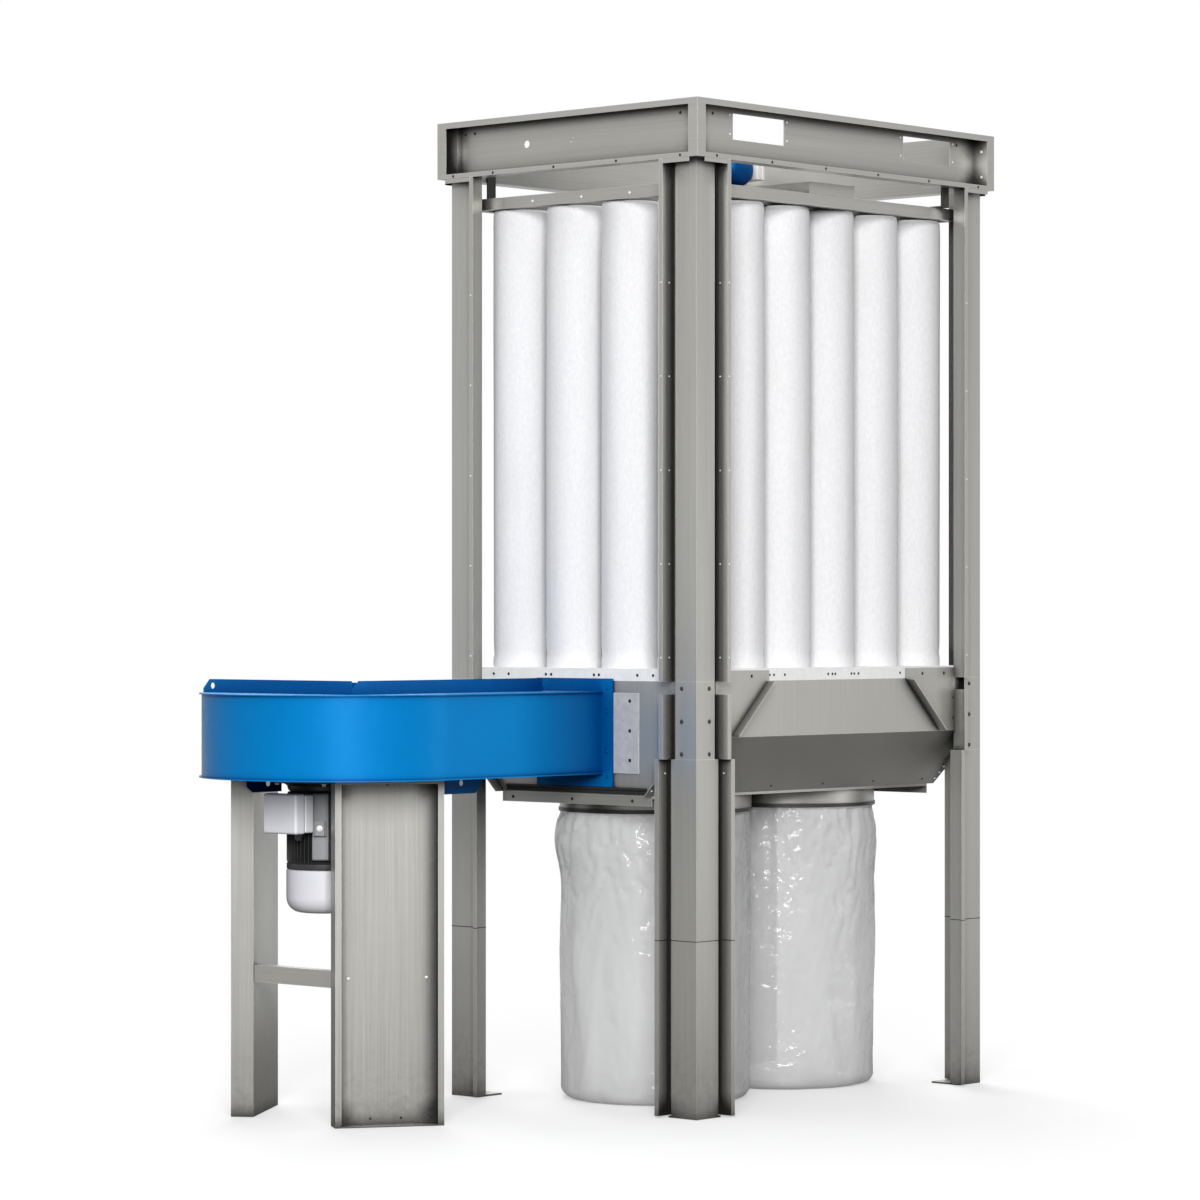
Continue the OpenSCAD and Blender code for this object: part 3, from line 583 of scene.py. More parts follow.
low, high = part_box("motor_body")
MOTOR = Vector(((low.x + high.x) / 2, (low.y + high.y) / 2, 0))
FLANGE_R = (high.x - low.x) / 2
cowl_low, cowl_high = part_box("motor_cowl")
MOTOR_R = (cowl_high.x - cowl_low.x) / 2
MOTOR_FOOT, MOTOR_HEAD = low.z, high.z
FLANGE_T = 0.018
FIN_T, FIN_TAPER, FIN_COUNT = 0.0026, 0.65, 52
FIN_TOP_UNDER_BOX = 0.935
LUG_Z = 0.945
COWL_CURVE_H, COWL_RAILS = 0.052, 3
PAD_MIDDLE, PAD_HALF = math.radians(219), math.radians(12)
BOX_MIDDLE, BOX_HALF = math.radians(178), math.radians(28)


def motor_place(radius, angle, height):
    return MOTOR + Vector((radius * math.cos(angle), radius * math.sin(angle), height))


def arc_pad(bm, middle, half, inner, outer, base, top, steps=12):
    """A smooth raised sector of a round body."""
    rows = []
    for step in range(steps + 1):
        angle = middle - half + 2 * half * step / steps
        rows.append([bm.verts.new(motor_place(r, angle, z)) for r, z in
                     ((inner, base), (outer - 0.004, base), (outer, base + 0.004), (outer, top - 0.004),
                      (outer - 0.004, top), (inner, top))])
    for before, after in zip(rows, rows[1:]):
        for left in range(6):
            right = (left + 1) % 6
            bm.faces.new((before[left], after[left], after[right], before[right]))
    bm.faces.new(rows[0])
    bm.faces.new(list(reversed(rows[-1])))


bm = bmesh.new()
core = MOTOR_R - 0.022
shield = 0.030
axis_place = Matrix.Translation(MOTOR)
lathe(bm, [(0, MOTOR_FOOT), (MOTOR_R - 0.003, MOTOR_FOOT), (MOTOR_R - 0.001, MOTOR_FOOT + 0.003),
           (MOTOR_R - 0.001, MOTOR_FOOT + 0.018), (MOTOR_R - 0.010, MOTOR_FOOT + 0.026), (core, MOTOR_FOOT + shield),
           (core, MOTOR_HEAD - FLANGE_T - 0.034), (MOTOR_R - 0.006, MOTOR_HEAD - FLANGE_T - 0.024),
           (MOTOR_R - 0.002, MOTOR_HEAD - FLANGE_T - 0.010), (MOTOR_R + 0.008, MOTOR_HEAD - FLANGE_T - 0.003),
           (FLANGE_R - 0.004, MOTOR_HEAD - FLANGE_T), (FLANGE_R, MOTOR_HEAD - FLANGE_T + 0.003),
           (FLANGE_R, MOTOR_HEAD - 0.001), (0, MOTOR_HEAD - 0.001)], 96, axis_place)
for fin in range(FIN_COUNT):
    angle = TAU * fin / FIN_COUNT
    in_pad = abs(math.remainder(angle - PAD_MIDDLE, TAU)) < PAD_HALF
    in_box = abs(math.remainder(angle - BOX_MIDDLE, TAU)) < BOX_HALF
    if in_pad:
        continue
    top = FIN_TOP_UNDER_BOX if in_box else MOTOR_HEAD - FLANGE_T - 0.030
    along = Vector((math.cos(angle), math.sin(angle), 0))
    side = Vector((-along.y, along.x, 0)) * FIN_T / 2
    outline = ((core - 0.002, MOTOR_FOOT + 0.028), (MOTOR_R - 0.003, MOTOR_FOOT + 0.022),
               (MOTOR_R - 0.001, MOTOR_FOOT + 0.030), (MOTOR_R - 0.001, top - 0.010), (MOTOR_R - 0.006, top),
               (core - 0.002, top))
    rib(bm, [MOTOR + along * r + side * (FIN_TAPER if r > core else 1) + UP * z for r, z in outline],
        [MOTOR + along * r - side * (FIN_TAPER if r > core else 1) + UP * z for r, z in outline])
piece(bm, "motor_finned_body", BLACK, ("motor_body",))

bm = bmesh.new()
arc_pad(bm, PAD_MIDDLE, PAD_HALF, core - 0.002, MOTOR_R - 0.001, MOTOR_FOOT + 0.032, MOTOR_HEAD - FLANGE_T - 0.032)
lug = motor_place(MOTOR_R + 0.006, PAD_MIDDLE, LUG_Z)
lug_turn = Matrix.Translation(lug) @ Matrix.Rotation(PAD_MIDDLE, 4, "Z")
rounded_box(bm, (-0.012, -0.016, -0.018), (0.010, 0.016, 0.018), 0.005, 3, lug_turn)
piece(bm, "motor_lug_pad", CAST_GREY)

bm = bmesh.new()
for step in range(4):
    angle = math.radians(45 + 90 * step)
    hex_bolt(bm, motor_place(FLANGE_R - 0.020, angle, MOTOR_HEAD - FLANGE_T), (0, 0, -1), 0.011, 0.009)
hex_bolt(bm, motor_place(MOTOR_R + 0.016, PAD_MIDDLE, LUG_Z), (math.cos(PAD_MIDDLE), math.sin(PAD_MIDDLE), 0), 0.010,
         0.008)
piece(bm, "motor_bolts", ZINC)

bm = bmesh.new()
foot, head = cowl_low.z, cowl_high.z
profile = [(MOTOR_R - 0.004, head - 0.001), (MOTOR_R, head - 0.003), (MOTOR_R, foot + COWL_CURVE_H)]
for step in range(1, 9):
    angle = math.radians(90 * step / 8)
    profile.append((MOTOR_R - 0.046 * (1 - math.cos(angle)), foot + COWL_CURVE_H - 0.050 * math.sin(angle)))
for step in range(3):
    edge = MOTOR_R - 0.050 - step * 0.022
    profile += [(edge, foot + 0.001), (edge - 0.001, foot + 0.010), (edge - 0.010, foot + 0.010),
                (edge - 0.011, foot + 0.001)]
profile += [(0, foot + 0.001)]
lathe(bm, [(0, head - 0.001)] + profile, 96, axis_place)
for step in range(COWL_RAILS):
    angle = math.radians(228 + 360 / COWL_RAILS * step)
    along = Vector((math.cos(angle), math.sin(angle), 0))
    side = Vector((-along.y, along.x, 0)) * 0.0022
    rail = ((MOTOR_R - 0.002, head - 0.004), (MOTOR_R + 0.0014, head - 0.004), (MOTOR_R + 0.0014, foot + 0.054),
            (MOTOR_R - 0.012, foot + 0.016), (MOTOR_R - 0.018, foot + 0.020), (MOTOR_R - 0.004, foot + 0.054))
    rib(bm, [MOTOR + along * r + side + UP * z for r, z in rail], [MOTOR + along * r - side + UP * z for r, z in rail])
piece(bm, "motor_fan_cowl", MOTOR_GREY, ("motor_cowl",))

LID_SHARE = 0.62
box_low, box_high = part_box("motor_terminal_box")
bm = bmesh.new()
split_x = box_low.x + LID_SHARE * (box_high.x - box_low.x)
rounded_box(bm, box_low, (split_x - 0.0012, box_high.y, box_high.z), 0.008, 4)
rounded_box(bm, (split_x + 0.0012, box_low.y + 0.003, box_low.z + 0.003),
            (box_high.x + 0.012, box_high.y - 0.003, box_high.z - 0.003), 0.007, 4)
rounded_box(bm, (split_x - 0.006, box_low.y + 0.006, box_low.z + 0.006),
            (split_x + 0.006, box_high.y - 0.006, box_high.z - 0.006), 0.003, 2)
piece(bm, "motor_connection_box", MOTOR_GREY, ("motor_terminal_box",))
bm = bmesh.new()
gland = Vector(((split_x + box_high.x) / 2, (box_low.y + box_high.y) / 2 - 0.03, box_low.z + 0.003))
lathe(bm, [(0, 0), (0.015, 0), (0.015, 0.010), (0.013, 0.012), (0, 0.012)], 6, facing(gland, (0, 0, -1)))
lathe(bm, [(0, 0.010), (0.012, 0.010), (0.012, 0.020), (0.008, 0.026), (0, 0.026)], 24, facing(gland, (0, 0, -1)))
piece(bm, "motor_cable_gland", DARK)

# Shaker motor on its beam

low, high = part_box("shaker_motor")
FOOT_T = 0.018
FOOT_BOLT_Y = 0.062
body_r = 0.062
axis_z = high.z - body_r
middle_x = (low.x + high.x) / 2
length = high.y - low.y
bm = bmesh.new()
along_y = facing(Vector((middle_x, low.y, axis_z)), (0, 1, 0))
profile = [(0, 0.001), (body_r - 0.022, 0.001), (body_r - 0.010, 0.006), (body_r - 0.003, 0.018), (body_r - 0.003, 0.046),
           (body_r, 0.050), (body_r, 0.062), (body_r - 0.006, 0.064)]
fin_at = 0.070
while fin_at < length - 0.074:
    profile += [(body_r - 0.006, fin_at), (body_r - 0.001, fin_at + 0.001), (body_r - 0.001, fin_at + 0.004),
                (body_r - 0.006, fin_at + 0.005)]
    fin_at += 0.011
profile += [(body_r - 0.006, length - 0.064), (body_r, length - 0.062), (body_r, length - 0.050),
            (body_r - 0.003, length - 0.046), (body_r - 0.003, length - 0.018), (body_r - 0.010, length - 0.006),
            (body_r - 0.022, length - 0.001), (0, length - 0.001)]
lathe(bm, profile, 64, along_y)
rounded_box(bm, (low.x, low.y + 0.045, low.z), (high.x, high.y - 0.045, low.z + FOOT_T), 0.004, 3)
for y in (low.y + FOOT_BOLT_Y, high.y - FOOT_BOLT_Y):
    rounded_box(bm, (middle_x - 0.050, y - 0.010, low.z + FOOT_T - 0.004), (middle_x + 0.050, y + 0.010, axis_z - 0.012),
                0.004, 2)
piece(bm, "shaker_motor_cast", BLUE, ("shaker_motor",))
bm = bmesh.new()
for x in (low.x + 0.012, high.x - 0.012):
    for y in (low.y + FOOT_BOLT_Y, high.y - FOOT_BOLT_Y):
        hex_bolt(bm, Vector((x, y, low.z + FOOT_T)), (0, 0, 1), 0.011, 0.009)
piece(bm, "shaker_bolts", ZINC)

box_low, box_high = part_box("shaker_terminal_box")
bm = bmesh.new()
split_x = box_low.x + LID_SHARE * (box_high.x - box_low.x)
rounded_box(bm, box_low, (split_x - 0.001, box_high.y, box_high.z), 0.005, 3)
rounded_box(bm, (split_x + 0.001, box_low.y, box_low.z), box_high, 0.005, 3)
rounded_box(bm, (split_x - 0.004, box_low.y + 0.004, box_low.z + 0.004),
            (split_x + 0.004, box_high.y - 0.004, box_high.z - 0.004), 0.002, 2)
piece(bm, "shaker_connection_box", PLASTIC, ("shaker_terminal_box",))

# Fan impeller, seen through the inlet

low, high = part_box("fan_impeller")
wheel = (low + high) / 2
wheel_r = (high.x - low.x) / 2
wheel_place = Matrix.Translation((wheel.x, wheel.y, 0))
bm = bmesh.new()
lathe(bm, [(0, low.z), (wheel_r, low.z), (wheel_r, low.z + 0.005), (wheel_r * 0.32, low.z + 0.007),
           (wheel_r * 0.2, low.z + 0.030), (wheel_r * 0.17, high.z - 0.020), (0.018, high.z - 0.012), (0, high.z - 0.012)],
      80, wheel_place)
lathe(bm, [(wheel_r * 0.62, high.z - 0.004), (wheel_r, high.z - 0.022), (wheel_r, high.z - 0.018), (wheel_r * 0.62, high.z)],
      80, wheel_place, closed=True)
BLADES = 10
for blade in range(BLADES):
    start = TAU * blade / BLADES
    strip = []
    for step in range(9):
        share = step / 8
        r = wheel_r * (0.30 + 0.66 * share)
        angle = start - 0.75 * share ** 0.8
        point = Vector((wheel.x + r * math.cos(angle), wheel.y + r * math.sin(angle), 0))
        across = Vector((-math.sin(angle - 0.5), math.cos(angle - 0.5), 0)) * 0.0015
        crest = high.z - 0.006 - 0.018 * max(0.0, (r / wheel_r - 0.62) / 0.38)
        strip.append((point + across + UP * (low.z + 0.004), point + across + UP * crest,
                      point - across + UP * crest, point - across + UP * (low.z + 0.004)))
    rows = [[bm.verts.new(co) for co in row] for row in strip]
    for before, after in zip(rows, rows[1:]):
        for left in range(4):
            right = (left + 1) % 4
            bm.faces.new((before[left], before[right], after[right], after[left]))
    bm.faces.new(rows[0])
    bm.faces.new(list(reversed(rows[-1])))
piece(bm, "fan_wheel", DARK, ("fan_impeller",))

# Closed ends of the shaker beam

low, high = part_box("shaker_beam")
bm = bmesh.new()
for y in (low.y, high.y - 0.0022):
    rounded_box(bm, (low.x + 0.0005, y - 0.0008, low.z + 0.0005), (high.x - 0.0005, y + 0.0030, high.z - 0.0005), 0.0007, 2)
piece(bm, "shaker_beam_ends", LEVEL)

# Flange with a lifting hole on the left under the fan


def holed_plate(bm, outline, hole, radius, place):
    """A flat plate with one round hole: outline in the plate's plane, place gives a point for (across, up, layer)."""
    turns = {TAU * step / 40 for step in range(40)}
    turns |= {math.atan2(up - hole[1], across - hole[0]) % TAU for across, up in outline}
    rings = []
    for turn in sorted(turns):
        way = Vector((math.cos(turn), math.sin(turn)))
        reach = 1.0
        for (x0, y0), (x1, y1) in zip(outline, outline[1:] + outline[:1]):
            side = Vector((x1 - x0, y1 - y0))
            start = Vector((x0 - hole[0], y0 - hole[1]))
            spin = way.x * side.y - way.y * side.x
            if abs(spin) < 1e-9:
                continue
            far = (start.x * side.y - start.y * side.x) / spin
            share = (start.x * way.y - start.y * way.x) / spin
            if far > 0 and -1e-6 <= share <= 1 + 1e-6:
                reach = min(reach, far)
        corners = []
        for length in (radius, reach):
            for layer in (0, 1):
                corners.append(bm.verts.new(place(hole[0] + way.x * length, hole[1] + way.y * length, layer)))
        rings.append(corners)
    for before, after in zip(rings, rings[1:] + rings[:1]):
        for left, right in ((0, 2), (2, 3), (3, 1), (1, 0)):
            bm.faces.new((before[left], before[right], after[right], after[left]))


KEEL_Y, KEEL_T = 1.1215, 0.0026
KEEL_OUTLINE = [(-0.932, 1.1066), (-0.932, 1.075), (-0.905, 1.055), (-0.776, 1.055), (-0.776, 1.1066)]
KEEL_HOLE, KEEL_HOLE_R = (-0.836, 1.083), 0.010
bm = bmesh.new()
holed_plate(bm, KEEL_OUTLINE, KEEL_HOLE, KEEL_HOLE_R, lambda x, z, layer: at(x, KEEL_Y + KEEL_T * layer, z))
piece(bm, "fan_left_flange", BLUE)

# Screws, punched holes and seams of the sheet steel

CORNERS = [(right, rear) for right in (False, True) for rear in (False, True)]
SHEET = 0.003
FOLD = 0.025
POST_FACE, LEG_FACE = 0.090, 0.108
FLANGE_W, RETURN_W = 0.028, 0.014
SLEEVE_SCREW_Z = (1.180, 1.286, 1.393)
SLEEVE_SCREW_IN = 0.063
RIVET_Z = (1.493, 1.797, 2.101, 2.406, 2.710)
LEG_RIVET_Z = (1.117,)
SEAM_Z = 0.575
TUBE_Z = 1.4335
TUBE_FRONT = (0.398, 0.420, 0.476, 0.703, 0.726, 0.741, 0.827, 0.842, 0.865, 1.092, 1.148, 1.170)
TUBE_END = (0.209, 0.278, 0.448, 0.470, 0.663, 0.687, 0.858, 0.927)
TOP_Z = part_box("top_frame_front")[0].z
WINDOW_X, WINDOW_SCREW_X, WINDOW_SCREW_Z = (0.338, 1.236), 0.1455, (0.0920, 0.1540)
RIVET_R = 0.0029
LEVEL_PUNCH_Z, LEVEL_PUNCH_R = 0.152, 0.0046
LIP_PUNCH_Z, LIP_PUNCH_R = 0.007, 0.0042
RAIL_RIVET_Y, RAIL_RIVET_Z, RAIL_RIVET_R = (0.335, 0.550, 0.772), 3.021, 0.0048
INLET_PUNCH_Z, INLET_PUNCH_Y = (1.349, 1.251, 1.154), 0.3085
FLANGE_BOLT_Z, FLANGE_BOLT_Y = (1.098, 1.182, 1.312, 1.390), 0.404
LEG_HOLE_Z = 0.469


def at_corner(corner, x, y, z):
    """A place measured from one of the four outer corners of the frame."""
    right, rear = corner
    return at(FRAME_W - x if right else x, FRAME_D - y if rear else y, z)


def corner_axis(corner, x, y):
    right, rear = corner
    return Vector((-x if right else x, -y if rear else y, 0))


def on_arms(along, depth, z, facing_x=0, facing_y=-1):
    """The same place on both arms of every corner post, each with the way it faces."""
    for corner in CORNERS:
        yield at_corner(corner, along, depth, z), corner_axis(corner, facing_x, facing_y)
        yield at_corner(corner, depth, along, z), corner_axis(corner, facing_y, facing_x)


def on_sides(along, inset, z, long_sides):
    """The same place on two opposite sides of the frame, with the way it faces."""
    if long_sides:
        yield at(along, inset, z), Vector((0, -1, 0))
        yield at(along, FRAME_D - inset, z), Vector((0, 1, 0))
    else:
        yield at(inset, along, z), Vector((-1, 0, 0))
        yield at(FRAME_W - inset, along, z), Vector((1, 0, 0))


def punched(bm, place, axis, radius):
    """The mouth of a punched hole as a near-black disc, painted shade for the hole's depth, with a slight burr around
    it.
    """
    rim = radius * 1.12
    lathe(bm, [(0, -0.0006), (rim, -0.0006), (rim, 0.0003), (radius, 0.0006), (radius * 0.9, 0.0003), (0, 0.0003)], 16,
          facing(place, axis))


rivets, holes, dark_screws, flange_bolts = bmesh.new(), bmesh.new(), bmesh.new(), bmesh.new()
for z in SLEEVE_SCREW_Z:
    for place, axis in on_arms(SLEEVE_SCREW_IN, 0, z):
        pan_head(dark_screws, place, axis, 0.0068)
for z in RIVET_Z:
    lip = POST_FACE + FLANGE_W
    for place, axis in on_arms(lip + 0.004, -POST_LIP, z):
        pan_head(rivets, place, axis, RIVET_R)
    for place, axis in on_arms(lip - SHEET, -0.002, z, -1, 0):
        pan_head(rivets, place, axis, RIVET_R)
for z in LEG_RIVET_Z:
    for place, axis in on_arms(LEG_FACE + FLANGE_W - SHEET, -0.002, z, -1, 0):
        pan_head(rivets, place, axis, RIVET_R)
for x in TUBE_FRONT:
    for place, axis in on_sides(x, FOLD, TUBE_Z, True):
        punched(holes, place, axis, LIP_PUNCH_R)
for y in TUBE_END:
    for place, axis in on_sides(y, FOLD, TUBE_Z, False):
        punched(holes, place, axis, LEVEL_PUNCH_R)
for z in INLET_PUNCH_Z:
    for y in (INLET_PUNCH_Y, FRAME_D - INLET_PUNCH_Y):
        punched(holes, at(FOLD - SHEET, y, z), (-1, 0, 0), 0.0055)
for z in FLANGE_BOLT_Z:
    for y in (FLANGE_BOLT_Y, FRAME_D - FLANGE_BOLT_Y):
        hex_bolt(flange_bolts, at(0.016, y, z), (-1, 0, 0), 0.0062, 0.005)
for y in (0.300, 0.568, 0.837):
    for place, axis in on_sides(y, FOLD, 1.021, False):
        punched(holes, place, axis, 0.0050)
SLOPE_FOOT_Y, SLOPE_FOOT_Z, RIDGE_Z = 0.215, 1.038, 1.231
slope_run, slope_fall = SLOPE_FOOT_Y - FOLD, RIDGE_Z - SLOPE_FOOT_Z
slope_l = math.hypot(slope_run, slope_fall)
SLOPE_OUT = Vector((0, -slope_fall / slope_l, -slope_run / slope_l))


def on_slope(x, up, rear):
    """A place on the outside of the hopper's front or rear slope, so far up from its foot."""
    y = SLOPE_FOOT_Y - up * slope_run / slope_l
    way = Vector((0, -SLOPE_OUT.y, SLOPE_OUT.z)) if rear else SLOPE_OUT
    return at(x, FRAME_D - y if rear else y, SLOPE_FOOT_Z + up * slope_fall / slope_l), way


for rear in (False, True):
    for step in range(5):
        place, axis = on_slope(0.334 + 0.275 * step, 0.026, rear)
        punched(holes, place, axis, 0.0040)
    for x in (0.004, FRAME_W - 0.004):
        for up in (0.026, 0.056, 0.086):
            place, axis = on_slope(x, up, rear)
            pan_head(rivets, place, axis, 0.0042)
for y in (0.045, 0.088, FRAME_D - 0.045, FRAME_D - 0.088):
    for place, axis in on_sides(y, FOLD - SHEET, TOP_Z + LEVEL_PUNCH_Z, False):
        punched(holes, place, axis, LEVEL_PUNCH_R)
for x in (0.106, FRAME_W - 0.106):
    for place, axis in on_sides(x, FOLD - SHEET, TOP_Z + LEVEL_PUNCH_Z, True):
        punched(holes, place, axis, LEVEL_PUNCH_R)
for window in WINDOW_X:
    for side in (-WINDOW_SCREW_X, WINDOW_SCREW_X):
        for z in WINDOW_SCREW_Z:
            for place, axis in on_sides(window + side, FOLD - SHEET, TOP_Z + z, True):
                pan_head(rivets, place, axis, 0.0038)
rail_low, rail_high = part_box("bag_frame")
for y in RAIL_RIVET_Y:
    for x, way in ((rail_low.x, -1), (rail_high.x, 1)):
        pan_head(rivets, Vector((x, at(0, y, 0).y, RAIL_RIVET_Z)), (way, 0, 0), RAIL_RIVET_R)
for step in range(6):
    for place, axis in on_sides(0.061 + 0.2785 * step, -POST_LIP, TOP_Z + LIP_PUNCH_Z, True):
        punched(holes, place, axis, LIP_PUNCH_R)
for y in (0.040, 0.318, 0.597, 0.875, FRAME_D - 0.040):
    for place, axis in on_sides(y, -POST_LIP, TOP_Z + LIP_PUNCH_Z, False):
        punched(holes, place, axis, LIP_PUNCH_R)
for corner in CORNERS:
    for z in (0.047, 0.135):
        pan_head(rivets, at_corner(corner, 0.005, -0.010, TOP_Z + z), corner_axis(corner, 1, 0), 0.0050)
    for x in (0.300, 0.180):
        punched(holes, at_corner(corner, x, 0.020, 1.4300), corner_axis(corner, 0, -1), 0.0048)
    for z in (1.275, 1.345):
        punched(holes, at_corner(corner, 0.128, 0.020, z), corner_axis(corner, 0, -1), 0.0040)

STAND_TURN, STAND_OFF, STAND_SHIFT = math.radians(33.5), 0.232, 0.153


def on_leg(along, depth, z, far):
    """A place on a stand leg: along its web, and so deep into its open side."""
    x, y = STAND_SHIFT + along, -STAND_OFF - depth
    turned = Vector((x * math.cos(STAND_TURN) + y * math.sin(STAND_TURN),
                     -x * math.sin(STAND_TURN) + y * math.cos(STAND_TURN), 0))
    way = Vector((-math.sin(STAND_TURN), -math.cos(STAND_TURN), 0))
    if far:
        turned.y, way.y = -turned.y, -way.y
    return MOTOR + turned + UP * z, way


for far in (False, True):
    for along in (-0.121, 0.134):
        place, axis = on_leg(along, SHEET, LEG_HOLE_Z, far)
        pan_head(rivets, place, axis, 0.0052)
    place, axis = on_leg(0.005, SHEET, 1.090, far)
    punched(holes, place, axis, 0.0050)
    for along in (-0.15, -0.05, 0.05, 0.15):
        place, axis = on_leg(along, SHEET, 0.020, far)
        punched(holes, place, axis, 0.0036)
piece(rivets, "frame_rivets", ZINC)
piece(holes, "frame_punched_holes", HOLE)
piece(dark_screws, "sleeve_screws", DARK)
piece(flange_bolts, "outlet_flange_bolts", BLUE)

# painted shadow: a near-black strip laid on the end wall above the hopper's bottom strip
bm = bmesh.new()
rounded_box(bm, at(0.0195, 0.236, 1.0425), at(0.0252, FRAME_D - 0.236, 1.0535), 0.002, 2)
rounded_box(bm, at(0.0165, 0.236, 1.0545), at(0.0252, FRAME_D - 0.236, 1.0640), 0.003, 2)
piece(bm, "hopper_end_painted_shadow", HOLE)


BOX_SIDES = ((0, 2, 3, 1), (4, 5, 7, 6), (0, 1, 5, 4), (2, 6, 7, 3), (0, 4, 6, 2), (1, 3, 7, 5))


def plain_box(bm, low, high):
    corners = [bm.verts.new((x, y, z)) for z in (low[2], high[2]) for y in (low[1], high[1]) for x in (low[0], high[0])]
    for side in BOX_SIDES:
        bm.faces.new([corners[index] for index in side])


CAP_HALF, CAP_DEPTH, CAP_Z = 0.157, (0.0722, 0.0748), (1.0925, 1.1065)
bm = bmesh.new()
for far in (False, True):
    corners = [bm.verts.new(on_leg(along, depth, z, far)[0])
               for z in CAP_Z for depth in CAP_DEPTH for along in (-CAP_HALF, CAP_HALF)]
    for side in BOX_SIDES:
        bm.faces.new([corners[index] for index in side])
bmesh.ops.bevel(bm, geom=bm.edges[:], offset=0.0006, segments=2, affect="EDGES")
piece(bm, "stand_leg_caps", UPRIGHT)

TAB_H, TAB_GAP = 0.015, 0.0008
tabs = bmesh.new()
for corner in CORNERS:
    for flip in (False, True):
        first, second = (0.002, -POST_LIP), (POST_FACE + FLANGE_W - SHEET, SHEET - POST_LIP)
        if flip:
            first, second = first[::-1], second[::-1]
        a = at_corner(corner, first[0], first[1], TOP_Z - TAB_H)
        b = at_corner(corner, second[0], second[1], TOP_Z - TAB_GAP)
        rounded_box(tabs, Vector(map(min, a, b)), Vector(map(max, a, b)), 0.0006, 2)
piece(tabs, "post_top_tabs", UPRIGHT)

SEAM_PROUD, SEAM_HALF = 0.0004, 0.0011
bm = bmesh.new()
end = LEG_FACE + FLANGE_W
arm = (((0, 0), (LEG_FACE, SHEET)), ((LEG_FACE - SHEET, 0), (LEG_FACE, FOLD)),
       ((LEG_FACE - SHEET, FOLD - SHEET), (end, FOLD)), ((end - SHEET, -POST_LIP), (end, FOLD)),
       ((end - SHEET, -POST_LIP), (end + RETURN_W, SHEET - POST_LIP)))
for corner in CORNERS:
    for (x0, y0), (x1, y1) in arm:
        for flip in (False, True):
            first = (y0, x0) if flip else (x0, y0)
            second = (y1, x1) if flip else (x1, y1)
            a = at_corner(corner, first[0], first[1], SEAM_Z - SEAM_HALF)
            b = at_corner(corner, second[0], second[1], SEAM_Z + SEAM_HALF)
            grow = Vector((SEAM_PROUD, SEAM_PROUD, 0))
            low = Vector(map(min, a, b)) - grow
            high = Vector(map(max, a, b)) + grow
            plain_box(bm, low, high)
piece(bm, "leg_joint_seams", HOLE)

# Studio


def area_light(name, place, aim, size, power):
    lamp = bpy.data.lights.new(name, "AREA")
    lamp.shape = "SQUARE"
    lamp.size = size
    lamp.energy = power
    holder = bpy.data.objects.new(name, lamp)
    holder.location = place
    holder.rotation_euler = (Vector(aim) - Vector(place)).to_track_quat("-Z", "Y").to_euler()
    bpy.context.scene.collection.objects.link(holder)


area_light("key_front", (-9.5, -8.7, 5.4), (0.2, 0, 1.7), 5.0, 2020)
area_light("fill_low", (5.5, -9.0, 0.9), (0.3, 0, 0.3), 2.5, 80)
area_light("rear_soft", (6.5, 7.5, 9.0), (0.2, 0, 1.5), 6.0, 800)
area_light("top_soft", (0.0, 0.5, 8.5), (0, 0, 1.5), 7.0, 360)

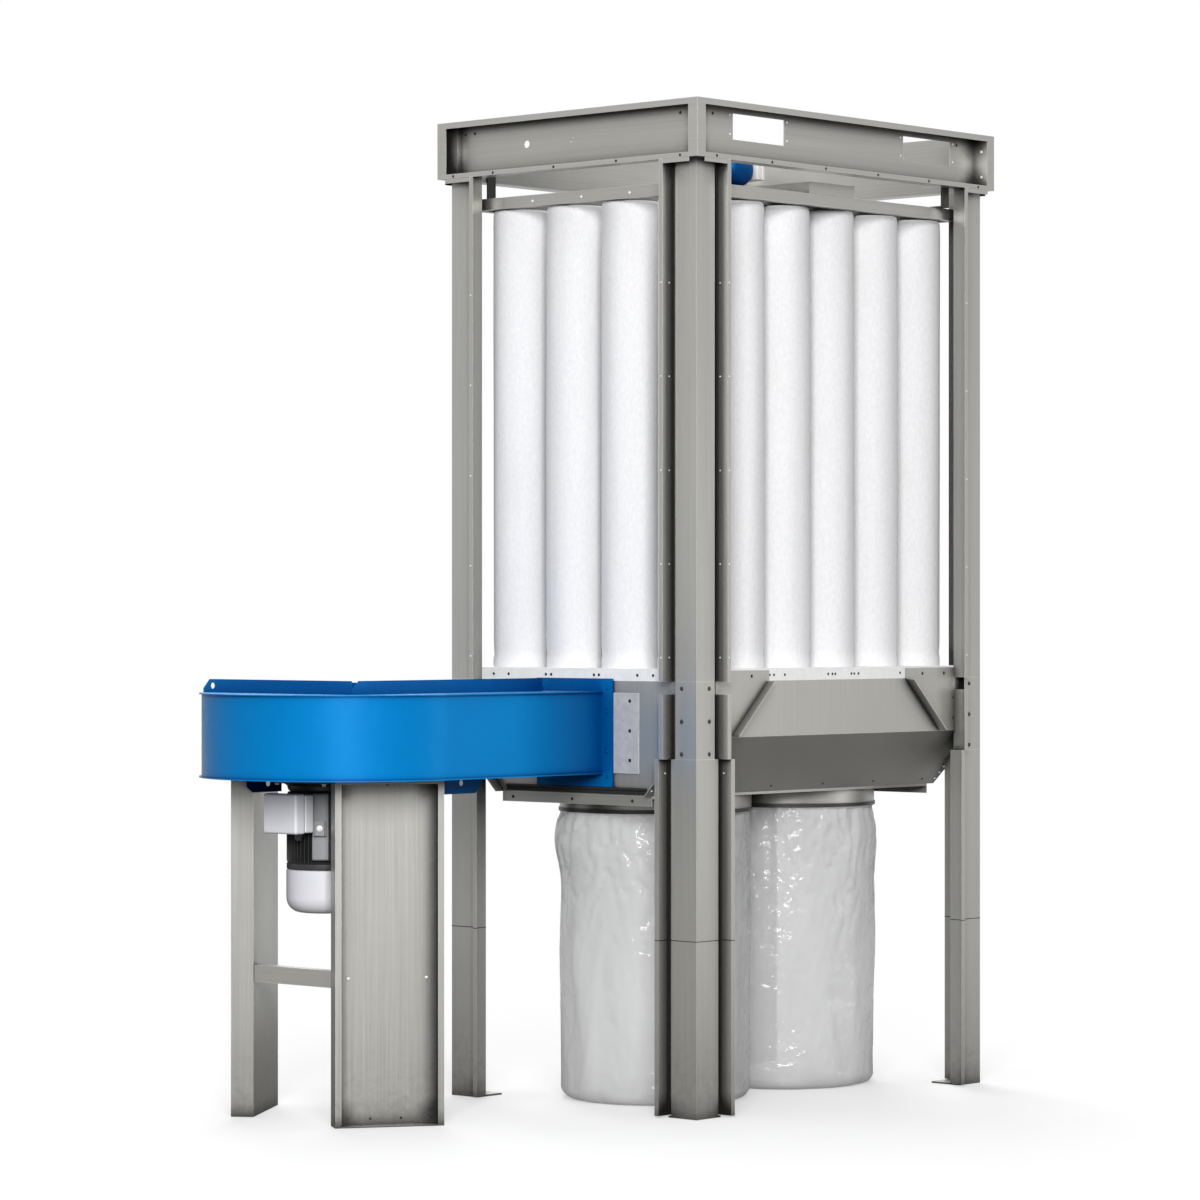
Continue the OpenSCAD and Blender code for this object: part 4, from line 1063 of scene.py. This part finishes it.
FLOOR_R = 60.0
floor_mesh = bmesh.new()
lathe(floor_mesh, [(0, -0.0005), (3.0, -0.0005), (8.0, -0.0005), (FLOOR_R, -0.0005)], 72, Matrix.Identity(4))
mesh = bpy.data.meshes.new("studio_floor")
floor_mesh.to_mesh(mesh)
floor_mesh.free()
studio_floor = bpy.data.objects.new("studio_floor", mesh)
bpy.context.scene.collection.objects.link(studio_floor)
studio_floor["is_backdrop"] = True
s = Shader("studio_floor")
s.set(Roughness=0.9, Specular_IOR_Level=0.1)
rays = s.node("ShaderNodeLightPath")
speck = s.noise((6, 6, 6), 2.0)
pale = s.mix(speck, srgb(240, 240, 240), srgb(244, 244, 244))
s.colour(s.mix(rays.outputs["Is Camera Ray"], srgb(104, 104, 104), pale))
spread = s.node("ShaderNodeVectorMath")
spread.operation = "LENGTH"
s.link(s.coords, spread.inputs[0])
seen = s.times(s.fit(spread.outputs["Value"], 1.2, 4.2, 0.35, 1.0), rays.outputs["Is Camera Ray"])
mirrored = s.times(s.fit(spread.outputs["Value"], 1.8, 4.5, 0.0, 0.95), rays.outputs["Is Glossy Ray"])
white = s.node("ShaderNodeEmission", Color=(1, 1, 1, 1), Strength=1.0)
blend = s.node("ShaderNodeMixShader")
s.link(s.plus(seen, mirrored), blend.inputs[0])
s.link(s.bsdf.outputs["BSDF"], blend.inputs[1])
s.link(white.outputs[0], blend.inputs[2])
s.link(blend.outputs[0], s.out.inputs["Surface"])
mesh.materials.append(s.material)

world = bpy.data.worlds.new("studio")
world.use_nodes = True
tree = world.node_tree
tree.nodes.clear()
sky_out = tree.nodes.new("ShaderNodeOutputWorld")
path = tree.nodes.new("ShaderNodeLightPath")


def sky(strength):
    made = tree.nodes.new("ShaderNodeBackground")
    made.inputs["Color"].default_value = (1.0, 1.0, 1.0, 1.0)
    made.inputs["Strength"].default_value = strength
    return made.outputs[0]


def pick(ray, otherwise, chosen):
    made = tree.nodes.new("ShaderNodeMixShader")
    tree.links.new(path.outputs[ray], made.inputs[0])
    tree.links.new(otherwise, made.inputs[1])
    tree.links.new(chosen, made.inputs[2])
    return made.outputs[0]


surround = pick("Is Glossy Ray", sky(0.24), sky(0.95))
tree.links.new(pick("Is Camera Ray", surround, sky(1.0)), sky_out.inputs["Surface"])
bpy.context.scene.world = world

lens = bpy.data.cameras.new("camera")
lens.lens = CAMERA_LENS
lens.sensor_width = 36.0
lens.shift_y = CAMERA_SHIFT
lens.clip_end = 200.0
camera = bpy.data.objects.new("camera", lens)
camera.location = CAMERA_PLACE
camera.rotation_euler = (math.radians(90), 0, math.radians(CAMERA_HEADING))
bpy.context.scene.collection.objects.link(camera)
bpy.context.scene.camera = camera
bpy.context.scene.view_settings.view_transform = "Standard"

low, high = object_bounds()
